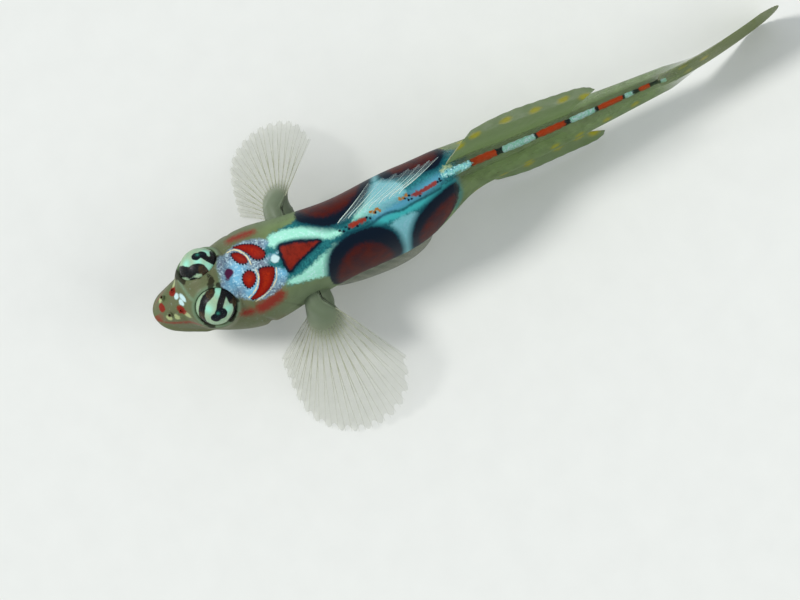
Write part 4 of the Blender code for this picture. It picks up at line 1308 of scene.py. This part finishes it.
def caudal_point(a, b):
    start = STANDARD_LENGTH + CAUDAL_STANDS_OFF
    middle = 2 * a - 1
    turn = -np.radians(CAUDAL["tilt"] + CAUDAL["spread"] * middle)
    length = (CAUDAL["length"] + CAUDAL_LONGER) * (1 - CAUDAL["short"] * middle * middle) * b
    station = start + np.cos(turn) * length
    height = CAUDAL["top"] * (1 - a) + CAUDAL["foot"] * a + np.sin(turn) * length
    side = bend_at(STANDARD_LENGTH) - CAUDAL["lean"] * a * np.maximum(b, 0)
    side = side - CAUDAL["bend"] * (np.maximum(station - start, 0) / CAUDAL["length"]) ** CAUDAL_BEND_POWER
    return np.stack([side, station, np.maximum(height, CAUDAL_LOWEST)], -1)


def pectoral_point(left):
    first_turn, last_turn = PECTORAL_TURN[left]

    def point_at(a, b):
        height = PECTORAL["top"] * (1 - a) + PECTORAL["foot"] * a
        station = PECTORAL["station"] - PECTORAL["slant"] * a
        base = np.stack([side_of_body(station, height, left) + left * SOLID_GAP, station, height], -1)
        turn = np.radians(first_turn + (last_turn - first_turn) * a)
        length = PECTORAL_LENGTH[left] * pectoral_share_at(a)
        raised = PECTORAL_TOP_TIP * np.maximum(0.0, 1 - a / PECTORAL_RAISED) ** 2
        fall = height - PECTORAL_TIP_HEIGHT - raised
        b_out = np.clip(b, 0, 1)
        flat = np.sqrt(length * length - fall * fall) * b_out
        drop = fall * b_out**PECTORAL_DROOP
        point = base + np.stack([left * np.sin(turn) * flat, np.cos(turn) * flat, -drop], -1)
        sunk = np.clip(-b / ROOT_REACH, 0, 1) * (SOLID_GAP + PECTORAL_ROOT)
        return point - np.stack([left * sunk, 0 * sunk, 0 * sunk], -1)

    return point_at


# The looks of the fins. Root and shown are where the root's colour ends and where the fin begins to show.
# Notch is how deep the margin is cut, and thick how thick the rays are. Fade is where the rays begin to
# fade, and how much of them is seen before that and at the margin. A spot is a share along the fin and a
# share up it
SPOT_RADIUS = 0.17
SPOT_LENGTH = 1.3
PLAIN_FIN = dict(spots=(), root=(-0.1, 0.42), shown=(-0.21, -0.12), notch=0.015, flesh=0.0, thick=0.6,
                 folds=0, branched=True, ray_root=-0.1, fade=(0.2, 0.42, 0.34))
LOOKS = {
    "first_dorsal": dict(root=(-0.4, -0.3), notch=0.1, thick=0.48, folds=1, branched=False,
                         fade=(0.2, 0.8, 0.22)),
    "second_dorsal": dict(spots=((0.0, 0.42), (0.08, 0.6), (0.27, 0.7), (0.5, 0.68), (0.72, 0.7),
                                 (0.96, 0.64))),
    "anal": dict(spots=((0.1, 0.45), (0.37, 0.5), (0.7, 0.36), (0.93, 0.36), (0.99, 0.7))),
    "caudal": dict(spots=((0.2, 0.12), (0.75, 0.16), (0.45, 0.3)), root=(-0.4, -0.3), shown=(-0.18, 0.16),
                   notch=0.012, thick=0.7, fade=(0.3, 0.42, 0.34)),
    "pectoral": dict(root=(0.12, 0.34), notch=0.05, flesh=0.5, thick=0.62, ray_root=0.17,
                     fade=(0.15, 0.75, 0.3)),
}

# The sheets of the fins
FIN_ACROSS = 10
FIN_ROWS = 34
FLOOR_CLEARANCE = 0.005
ROOT_ROWS = (-ROOT_REACH, -ROOT_REACH / 2)
MARGIN_THINNER = 0.6
FLESH_REACH = 0.3
FLESH_FALL_POWER = 1.3


def make_membrane(name, point_at, rays, thickness, material, look):
    """A thin closed sheet, its margin cut in a little between the rays, with a fleshy root where asked."""
    a = np.linspace(0, 1, (rays - 1) * FIN_ACROSS + 1)
    b = np.concatenate([ROOT_ROWS, np.linspace(0, 1, FIN_ROWS)])
    across, reach = np.meshgrid(a, b, indexing="ij")
    between = np.sin(across * (rays - 1) * math.pi) ** 2
    grid = point_at(across, np.where(reach > 0, reach * (1 - look["notch"] * between * reach**2), reach))
    normal = np.cross(np.gradient(grid, axis=0), np.gradient(grid, axis=1))
    normal = normal / np.maximum(np.linalg.norm(normal, axis=-1, keepdims=True), 1e-9)
    if look["flesh"]:
        normal[:, :3] = normal[:, 3:4]
    lobe = 1 - np.clip(np.maximum(reach, 0) / FLESH_REACH, 0, 1) ** FLESH_FALL_POWER
    lobe = lobe * np.sqrt(1 - np.abs(2 * across - 1) ** 4)
    half = thickness / 2 * (1 - MARGIN_THINNER * np.clip(reach, 0, 1)) + look["flesh"] * lobe
    sides = [grid + normal * half[..., None], grid - normal * half[..., None]]
    rows, columns = across.shape
    points = np.concatenate([side.reshape(-1, 3) for side in sides])
    points[:, 2] = np.maximum(points[:, 2], 2 * FLOOR_CLEARANCE)
    other = rows * columns
    faces = grid_faces(rows, columns, closed=False)
    faces += grid_faces(rows, columns, other, closed=False, flip=True)
    rim = [(i, 0) for i in range(rows)] + [(rows - 1, j) for j in range(1, columns)]
    rim += [(i, columns - 1) for i in range(rows - 2, -1, -1)] + [(0, j) for j in range(columns - 2, 0, -1)]
    for (i, j), (k, m) in zip(rim, rim[1:] + rim[:1]):
        near, far = i * columns + j, k * columns + m
        faces.append((far, near, near + other, far + other))
    fields = fin_fields(point_at, look, across, reach)
    fields = {field: np.tile(values.ravel(), 2) for field, values in fields.items()}
    return mesh_object(name, points, faces, material, fields)


def fin_fields(point_at, look, across, reach):
    """The named values of a fin: the colour of its root, its spots, and where it shows."""
    depth = np.full(across.shape, -1.0)
    for spot_a, spot_b in np.array(look["spots"], float).reshape(-1, 2):
        centre = point_at(spot_a, spot_b)
        ahead = point_at(spot_a + 0.05, spot_b) - centre
        ahead /= np.linalg.norm(ahead)
        away = point_at(across, np.clip(reach, 0, 1)) - centre
        along = away @ ahead
        off = np.linalg.norm(away - along[..., None] * ahead, axis=-1)
        depth = np.maximum(depth, SPOT_RADIUS - np.hypot(along / SPOT_LENGTH, off))
    root = 1 - smooth_step(*look["root"], reach)
    return {"root": root, "spot": depth, "shown": smooth_step(*look["shown"], reach)}


def tube_tree(material):
    """Geometry nodes that give every line a round section of its own radius."""
    tree = bpy.data.node_groups.new("Rays from lines", "GeometryNodeTree")
    tree.interface.new_socket("Lines", in_out="INPUT", socket_type="NodeSocketGeometry")
    sides = tree.interface.new_socket("Sides", in_out="INPUT", socket_type="NodeSocketInt")
    sides.default_value = 8
    tree.interface.new_socket("Rays", in_out="OUTPUT", socket_type="NodeSocketGeometry")
    nodes = Nodes(tree)
    given, result = nodes.add("NodeGroupInput"), nodes.add("NodeGroupOutput")
    lines = nodes.add("GeometryNodeMeshToCurve", {0: given.outputs["Lines"]})
    radius = nodes.add("GeometryNodeInputNamedAttribute", {"Name": "half"}, data_type="FLOAT")
    size_of = {"Resolution": given.outputs["Sides"], "Radius": 1.0}
    circle = nodes.add("GeometryNodeCurvePrimitiveCircle", size_of)
    section_of = {"Curve": lines, "Profile Curve": circle, "Scale": radius, "Fill Caps": True}
    tubes = nodes.add("GeometryNodeCurveToMesh", section_of)
    smooth = nodes.add("GeometryNodeSetShadeSmooth", {"Geometry": tubes})
    real = nodes.add("GeometryNodeRealizeInstances", {"Geometry": smooth})
    painted = nodes.add("GeometryNodeSetMaterial", {"Geometry": real, "Material": material})
    nodes.feed(result.inputs["Rays"], painted)
    return tree, sides.identifier


# Rays: where they fork and how far they spread, how much each shows, how they taper, and the folds between
RAY_FORK = 0.45
RAY_SPREAD = 0.27
RAY_POINTS = 18
BRANCH_POINTS = 14
FOLD_POINTS = 16
RAY_SHOWS = 0.78
RAY_SHOWS_MORE = 0.22
RAY_VARIES = 5.3
RAY_TAPER = 0.6
BRANCH_SHARE = 0.62
BRANCH_TAPER = 0.4
BRANCH_CURVE = 0.8
FOLD_END = 0.72
FOLD_SHARE = 0.4
FOLD_SHOWS = 0.55
FOLD_WANDERS = 0.01
FOLD_WAVES = 9


def make_rays(name, point_at, rays, radius, sides, tree, look):
    """The rays of a fin as tapering lines that fork towards the margin, turned into a mesh."""
    points, edges, halves, clears = [], [], [], []
    fade_start, near, far = look["fade"]

    def line(a, b, size, showing):
        start = len(points)
        points.extend(point_at(a, b))
        halves.extend(size)
        clears.extend(showing * (far + (near - far) * (1 - smooth_step(fade_start, 1.0, b))))
        edges.extend((start + i, start + i + 1) for i in range(len(b) - 1))

    spread = RAY_SPREAD / (rays - 1)
    for ray in range(rays):
        a = ray / (rays - 1)
        showing = RAY_SHOWS + RAY_SHOWS_MORE * math.sin(RAY_VARIES * ray + 1)
        b = np.linspace(look["ray_root"], RAY_FORK if look["branched"] else 1, RAY_POINTS)
        line(a + 0 * b, b, radius * (1 - RAY_TAPER * np.clip(b, 0, 1)), showing)
        for fold in range(look["folds"] if ray < rays - 1 else 0):
            between = (fold + 1) / (look["folds"] + 1) / (rays - 1)
            b = np.linspace(look["ray_root"], FOLD_END, FOLD_POINTS)
            wandering = FOLD_WANDERS * np.sin(FOLD_WAVES * b + ray)
            line(a + between + wandering, b, FOLD_SHARE * radius + 0 * b, FOLD_SHOWS)
        for way in (-1, 1) if look["branched"] else ():
            if 0 <= a + way * spread <= 1:
                b = np.linspace(RAY_FORK, 1, BRANCH_POINTS)
                share = (b - RAY_FORK) / (1 - RAY_FORK)
                opened = a + way * spread * share**BRANCH_CURVE
                line(opened, b, radius * (BRANCH_SHARE - BRANCH_TAPER * share), showing)
    mesh = bpy.data.meshes.new(name + "_lines")
    flat, halves = np.array(points), np.array(halves)
    flat[:, 2] = np.maximum(flat[:, 2], halves + FLOOR_CLEARANCE)
    mesh.from_pydata([tuple(point) for point in place(flat)], edges, [])
    set_fields(mesh, {"half": halves * MM, "shown": clears})
    source = link_object(name + "_lines", mesh)
    modifier = source.modifiers.new("rays", "NODES")
    modifier.node_group = tree[0]
    modifier[tree[1]] = sides
    graph = bpy.context.evaluated_depsgraph_get()
    result = bpy.data.meshes.new_from_object(source.evaluated_get(graph))
    source.modifiers.clear()
    bpy.data.objects.remove(source)
    return link_object(name, result)


ROOT_ALPHA = 0.84
SPOT_ALPHA = 0.8


def fin_material(name, membrane, root, alpha, spot=None):
    """Clear membrane that is thicker and more coloured at its root, with spots where it has them."""
    material, nodes, shader = material_with(name, {"Roughness": 0.4, "Coat Weight": 0.04})
    noise = nodes.noise(MEMBRANE_NOISE)
    base = nodes.mix(noise, membrane, scaled(membrane, 0.75))
    base = nodes.mix(nodes.field("root"), base, root)
    see = nodes.math("MULTIPLY_ADD", noise, 0.5 * alpha, 0.75 * alpha)
    see = nodes.mix_values(nodes.field("root"), see, ROOT_ALPHA)
    if spot:
        mask = edge_mask(nodes, "spot", *EDGES["yellow"])
        base = nodes.mix(mask, base, spot)
        see = nodes.math("MAXIMUM", see, nodes.math("MULTIPLY", mask, SPOT_ALPHA))
    nodes.feed(shader["Base Color"], base)
    nodes.feed(shader["Alpha"], nodes.math("MULTIPLY", see, nodes.field("shown")))
    return material


def make_fins(colours, sizes):
    def ray_tree(name, other, shade_of):
        """Geometry nodes that make rays of one paint."""
        paint, nodes, shader = material_with(name, {"Roughness": 0.3, "Coat Weight": 0.2})
        nodes.feed(shader["Base Color"], nodes.mix(shade_of(nodes), colours.ray, other))
        nodes.feed(shader["Alpha"], nodes.field("shown"))
        return tube_tree(paint)

    tree = ray_tree("Fin ray", colours.fin, lambda nodes: nodes.noise(RAY_NOISE, 3.0))
    # The first dorsal's rays: cream, flecked with a painted highlight in the sparkle colour
    highlighted_ray_tree = ray_tree("Fin ray with painted highlight", colours.sparkle, lambda nodes: flecks(nodes, 0.8, 0.4)["Fleck"])
    clear = fin_material("Clear fin", colours.fin, colours.lobe, 0.1)
    spotted = fin_material("Spotted fin", colours.flesh, colours.flesh, 0.7, colours.yellow)
    # The first dorsal's membrane: clear, with a faint painted sheen in the sparkle colour
    silvery = fin_material("Fin with painted sheen", colours.sparkle, colours.sparkle, 0.07)
    tail = fin_material("Tail fin", colours.caudal, colours.caudal, 0.78, colours.yellow)
    plan = [
        # The first dorsal gets the membrane with the painted sheen
        ("first_dorsal", "first_dorsal_fin", FIRST_DORSAL, median_fin_point(FIRST_DORSAL, 1), silvery),
        ("second_dorsal", "second_dorsal_fin", SECOND_DORSAL,
         with_round_corners(median_fin_point(SECOND_DORSAL, 1)), spotted),
        ("anal", "anal_fin", ANAL, with_round_corners(median_fin_point(ANAL, -1)), spotted),
        ("caudal", "caudal_fin", CAUDAL, caudal_point, tail),
        ("pectoral_left", "pectoral_fin_left", PECTORAL, pectoral_point(1), clear),
        ("pectoral_right", "pectoral_fin_right", PECTORAL, pectoral_point(-1), clear),
    ]
    pieces = []
    for name, node, fin, point_at, paint in plan:
        look = PLAIN_FIN | LOOKS["pectoral" if fin is PECTORAL else name]
        sheet = make_membrane(name + "_membrane", point_at, fin["rays"], sizes.membrane / MM, paint, look)
        # Fins with folds, the first dorsal, take the rays with the painted highlight
        kind = highlighted_ray_tree if look["folds"] else tree
        radius = look["thick"] * sizes.ray / MM
        lines = make_rays(name + "_rays", point_at, fin["rays"], radius, sizes.ray_sides, kind, look)
        pieces.append((sheet, lines, node))
    return pieces


# The pelvic disc's cup and the stalk that joins it to the body
DISC_RAYS = 17
DISC_AROUND = 192
DISC_ROWS = 40
DISC_OPENING = 0.04
DISC_DEPTH = 0.62
DISC_THICKNESS = 0.14
DISC_THINNEST = 0.05
DISC_RIDGE = 0.012
DISC_UNDER_BELLY = 0.1
DISC_RIM = (0.7, 1)
DISC_SOLID = 0.42
DISC_CLEARER = 0.14
STALK_STATION = 6.2
STALK_BACK = 0.2
STALK_FOOT = 0.45
STALK_RISE = 0.95
STALK_RADIUS = 0.5
STALK_WAIST = 0.2
STALK_WIDTH = 0.8
STALK_LENGTH = 1.3
STALK_ROWS = 12
STALK_SIDES = 32


def disc_point(turn, share):
    """The plan of the pelvic disc: rings that grow from its root to its rim."""
    across, ahead = np.sin(turn), np.cos(turn)
    power = 2 / DISC_SQUARENESS
    back = -np.sign(ahead) * np.abs(ahead) ** power * share
    side = np.sign(across) * np.abs(across) ** power * share * (1 + DISC_WIDER_BEHIND * back)
    station = DISC_ROOT + (DISC_STATION - DISC_ROOT) * share + DISC_HALF_LENGTH * back
    return side * DISC_HALF_WIDTH, station


def make_disc(colours):
    """The joined pelvic fins: a shallow clear cup with fine rays, on the floor by its rim."""
    shares = np.linspace(DISC_OPENING, 1, DISC_ROWS)
    share, turn = np.meshgrid(shares, turns_round(DISC_AROUND), indexing="ij")
    side, station = disc_point(turn, share)
    ray = 0.5 + 0.5 * np.cos(turn * DISC_RAYS * 2)
    cup = DISC_DEPTH * np.maximum(0, 1 - (share / DISC_FLAT) ** 2)
    foot = np.maximum(cup - DISC_RIDGE * ray * np.minimum(1, cup * 4), FLOOR_CLEARANCE)
    top = foot + DISC_THICKNESS * (1 - 0.5 * share**4) + DISC_RIDGE * ray * share
    top = np.minimum(np.maximum(top, DISC_THINNEST), belly_at(station) + DISC_UNDER_BELLY)
    x = bend_at(ORIGIN_STATION) + side
    points = np.concatenate([np.stack([x, station, height], -1).reshape(-1, 3) for height in (top, foot)])
    count, around = share.shape
    faces = grid_faces(count, around, flip=True) + grid_faces(count, around, count * around)
    last = (count - 1) * around
    for j in range(around):
        k = (j + 1) % around
        faces.append((last + j, last + k, count * around + last + k, count * around + last + j))
    faces.append(tuple(range(around)))
    faces.append(tuple(count * around + j for j in range(around - 1, -1, -1)))
    material, nodes, shader = material_with("Pelvic disc", {"Roughness": 0.3, "Coat Weight": 0.3})
    fade = nodes.field("rim")
    flesh = nodes.mix(nodes.math("MULTIPLY", fade, 0.6), colours.lobe, colours.belly)
    base = nodes.mix(nodes.math("MULTIPLY", nodes.field("line"), 0.4), flesh, colours.ray)
    nodes.feed(shader["Base Color"], base)
    nodes.feed(shader["Alpha"], nodes.math("MULTIPLY_ADD", fade, -DISC_CLEARER, DISC_SOLID))
    fields = {"rim": np.tile(smooth_step(*DISC_RIM, share).ravel(), 2), "line": np.tile((ray**3).ravel(), 2)}
    disc = mesh_object("pelvic_disc_cup", points, faces, material, fields)
    level, turn = np.meshgrid(np.linspace(0, 1, STALK_ROWS), turns_round(STALK_SIDES), indexing="ij")
    spread = STALK_RADIUS - STALK_WAIST * np.sin(level * math.pi)
    side = bend_at(STALK_STATION) + spread * STALK_WIDTH * np.sin(turn)
    station = STALK_STATION + STALK_LENGTH * spread * np.cos(turn) + STALK_BACK
    stalk = np.stack([side, station, STALK_FOOT + STALK_RISE * level], -1)
    fields = {"rim": 0 * level, "line": 0 * level}
    return disc, mesh_object("pelvic_stalk", stalk, tube_faces(STALK_ROWS, STALK_SIDES), material, fields)


# Stage
TILT = math.radians(12.5)
ROLL = math.radians(24.5)
SIZE_OF_PIXEL = 0.0343
SNOUT_PIXEL = (157, 308)
SNOUT_STATION = 5 * SIZE_OF_PIXEL
SNOUT_HEIGHT = 2.35
LENS = 300.0
SENSOR = 36.0
FRAME_SIZE = (800, 600)
SKY_LIGHT = (0.86, 0.93, 1.0)
SKY_STRENGTH = 0.55
FLOOR_REACH = 0.6

# Sun lamps: name, angles in degrees, strength, and how large the sun looks in degrees
LAMPS = (("key", (38, -22, 0), 2.0, 14), ("fill", (-40, 35, 0), 0.7, 40))


def make_camera():
    """A long lens above the fish, leaning to its left and turned so that it lies across the frame."""
    along = np.array([0, 1, 0])
    across = np.array([-math.cos(TILT), 0, math.sin(TILT)])
    right = math.cos(ROLL) * along - math.sin(ROLL) * across
    up = math.sin(ROLL) * along + math.cos(ROLL) * across
    toward = np.cross(right, up)
    snout = place([0, SNOUT_STATION, SNOUT_HEIGHT]) / MM
    shift_right = (FRAME_SIZE[0] / 2 - SNOUT_PIXEL[0]) * SIZE_OF_PIXEL
    shift_up = (SNOUT_PIXEL[1] - FRAME_SIZE[1] / 2) * SIZE_OF_PIXEL
    distance = FRAME_SIZE[0] * SIZE_OF_PIXEL * LENS / SENSOR
    centre = snout + right * shift_right + up * shift_up + toward * distance
    data = bpy.data.cameras.new("camera")
    data.lens = LENS
    data.sensor_width = SENSOR
    data.clip_start = 10 * MM
    data.clip_end = 1.0
    camera = link_object("camera", data)
    turned = Matrix((right, up, toward)).transposed().to_4x4()
    turned.translation = Vector(centre * MM)
    camera.matrix_world = turned
    bpy.context.scene.camera = camera


def make_stage(colours):
    mesh = bpy.data.meshes.new("floor")
    corners = [(x * FLOOR_REACH, y * FLOOR_REACH, 0) for x, y in ((-1, -1), (1, -1), (1, 1), (-1, 1))]
    mesh.from_pydata(corners, [], [(0, 1, 2, 3)])
    material, nodes, shader = material_with("Floor", {"Roughness": 0.8})
    lighter = scaled(colours.floor, 1.06)
    nodes.feed(shader["Base Color"], nodes.mix(nodes.noise(FLOOR_NOISE), colours.floor, lighter))
    mesh.materials.append(material)
    floor = link_object("floor", mesh)
    world = bpy.data.worlds.new("World")
    world.use_nodes = True
    background = world.node_tree.nodes["Background"].inputs
    background["Color"].default_value = (*SKY_LIGHT, 1)
    background["Strength"].default_value = SKY_STRENGTH
    bpy.context.scene.world = world
    bpy.context.scene.view_settings.view_transform = "Standard"
    for name, angles, strength, softness in LAMPS:
        data = bpy.data.lights.new(name, "SUN")
        data.energy = strength
        data.angle = math.radians(softness)
        link_object(name, data).rotation_euler = [math.radians(value) for value in angles]


# Operators and panel


class GOBY_OT_skin(bpy.types.Operator):
    """Build the skin with its markings, and the lines that show through it"""

    bl_idname = "goby.skin"
    bl_label = "Skin"

    def execute(self, context):
        colours = context.scene.goby_colours
        skin = make_skin(colours)
        finish_piece(skin, "skin", "head", "trunk", "tail")
        finish_piece(make_spine_line(colours), "skin")
        finish_piece(make_lining(colours), "skin")
        return {"FINISHED"}


class GOBY_OT_eyes(bpy.types.Operator):
    """Build both eyes, each a striped iris under a clear cornea"""

    bl_idname = "goby.eyes"
    bl_label = "Eyes"

    def execute(self, context):
        for ball, cornea, node in make_eyes(context.scene.goby_colours):
            finish_piece(ball, "eye", node)
            finish_piece(cornea, "eye")
        return {"FINISHED"}


class GOBY_OT_fins(bpy.types.Operator):
    """Build the clear fins, their rays and the pelvic disc"""

    bl_idname = "goby.fins"
    bl_label = "Fins"

    def execute(self, context):
        scene = context.scene
        for sheet, rays, node in make_fins(scene.goby_colours, scene.goby_sizes):
            finish_piece(sheet, "fin", node)
            finish_piece(rays, "fin")
        disc, stalk = make_disc(scene.goby_colours)
        finish_piece(disc, "fin", "pelvic_disc")
        finish_piece(stalk, "fin")
        return {"FINISHED"}


class GOBY_OT_stage(bpy.types.Operator):
    """Set the floor, the lights and the camera"""

    bl_idname = "goby.stage"
    bl_label = "Stage"

    def execute(self, context):
        make_stage(context.scene.goby_colours)
        make_camera()
        return {"FINISHED"}


OPERATORS = (GOBY_OT_stage, GOBY_OT_skin, GOBY_OT_eyes, GOBY_OT_fins)


class GOBY_PT_panel(bpy.types.Panel):
    """Lists the goby's parts, colours and sizes"""

    bl_label = "Goby"
    bl_space_type = "VIEW_3D"
    bl_region_type = "UI"
    bl_category = "Goby"

    def draw(self, context):
        for operator in OPERATORS:
            self.layout.operator(operator.bl_idname)
        for group in (context.scene.goby_colours, context.scene.goby_sizes):
            for key in type(group).__annotations__:
                self.layout.prop(group, key)


CLASSES = (GobyColours, GobySizes, *OPERATORS, GOBY_PT_panel)


def register():
    for item in CLASSES:
        bpy.utils.register_class(item)
    bpy.types.Scene.goby_colours = bpy.props.PointerProperty(type=GobyColours)
    bpy.types.Scene.goby_sizes = bpy.props.PointerProperty(type=GobySizes)


def unregister():
    del bpy.types.Scene.goby_sizes
    del bpy.types.Scene.goby_colours
    for item in reversed(CLASSES):
        bpy.utils.unregister_class(item)


def main():
    register()
    for operator in OPERATORS:
        group, name = operator.bl_idname.split(".")
        getattr(getattr(bpy.ops, group), name)()


if __name__ == "__main__":
    main()
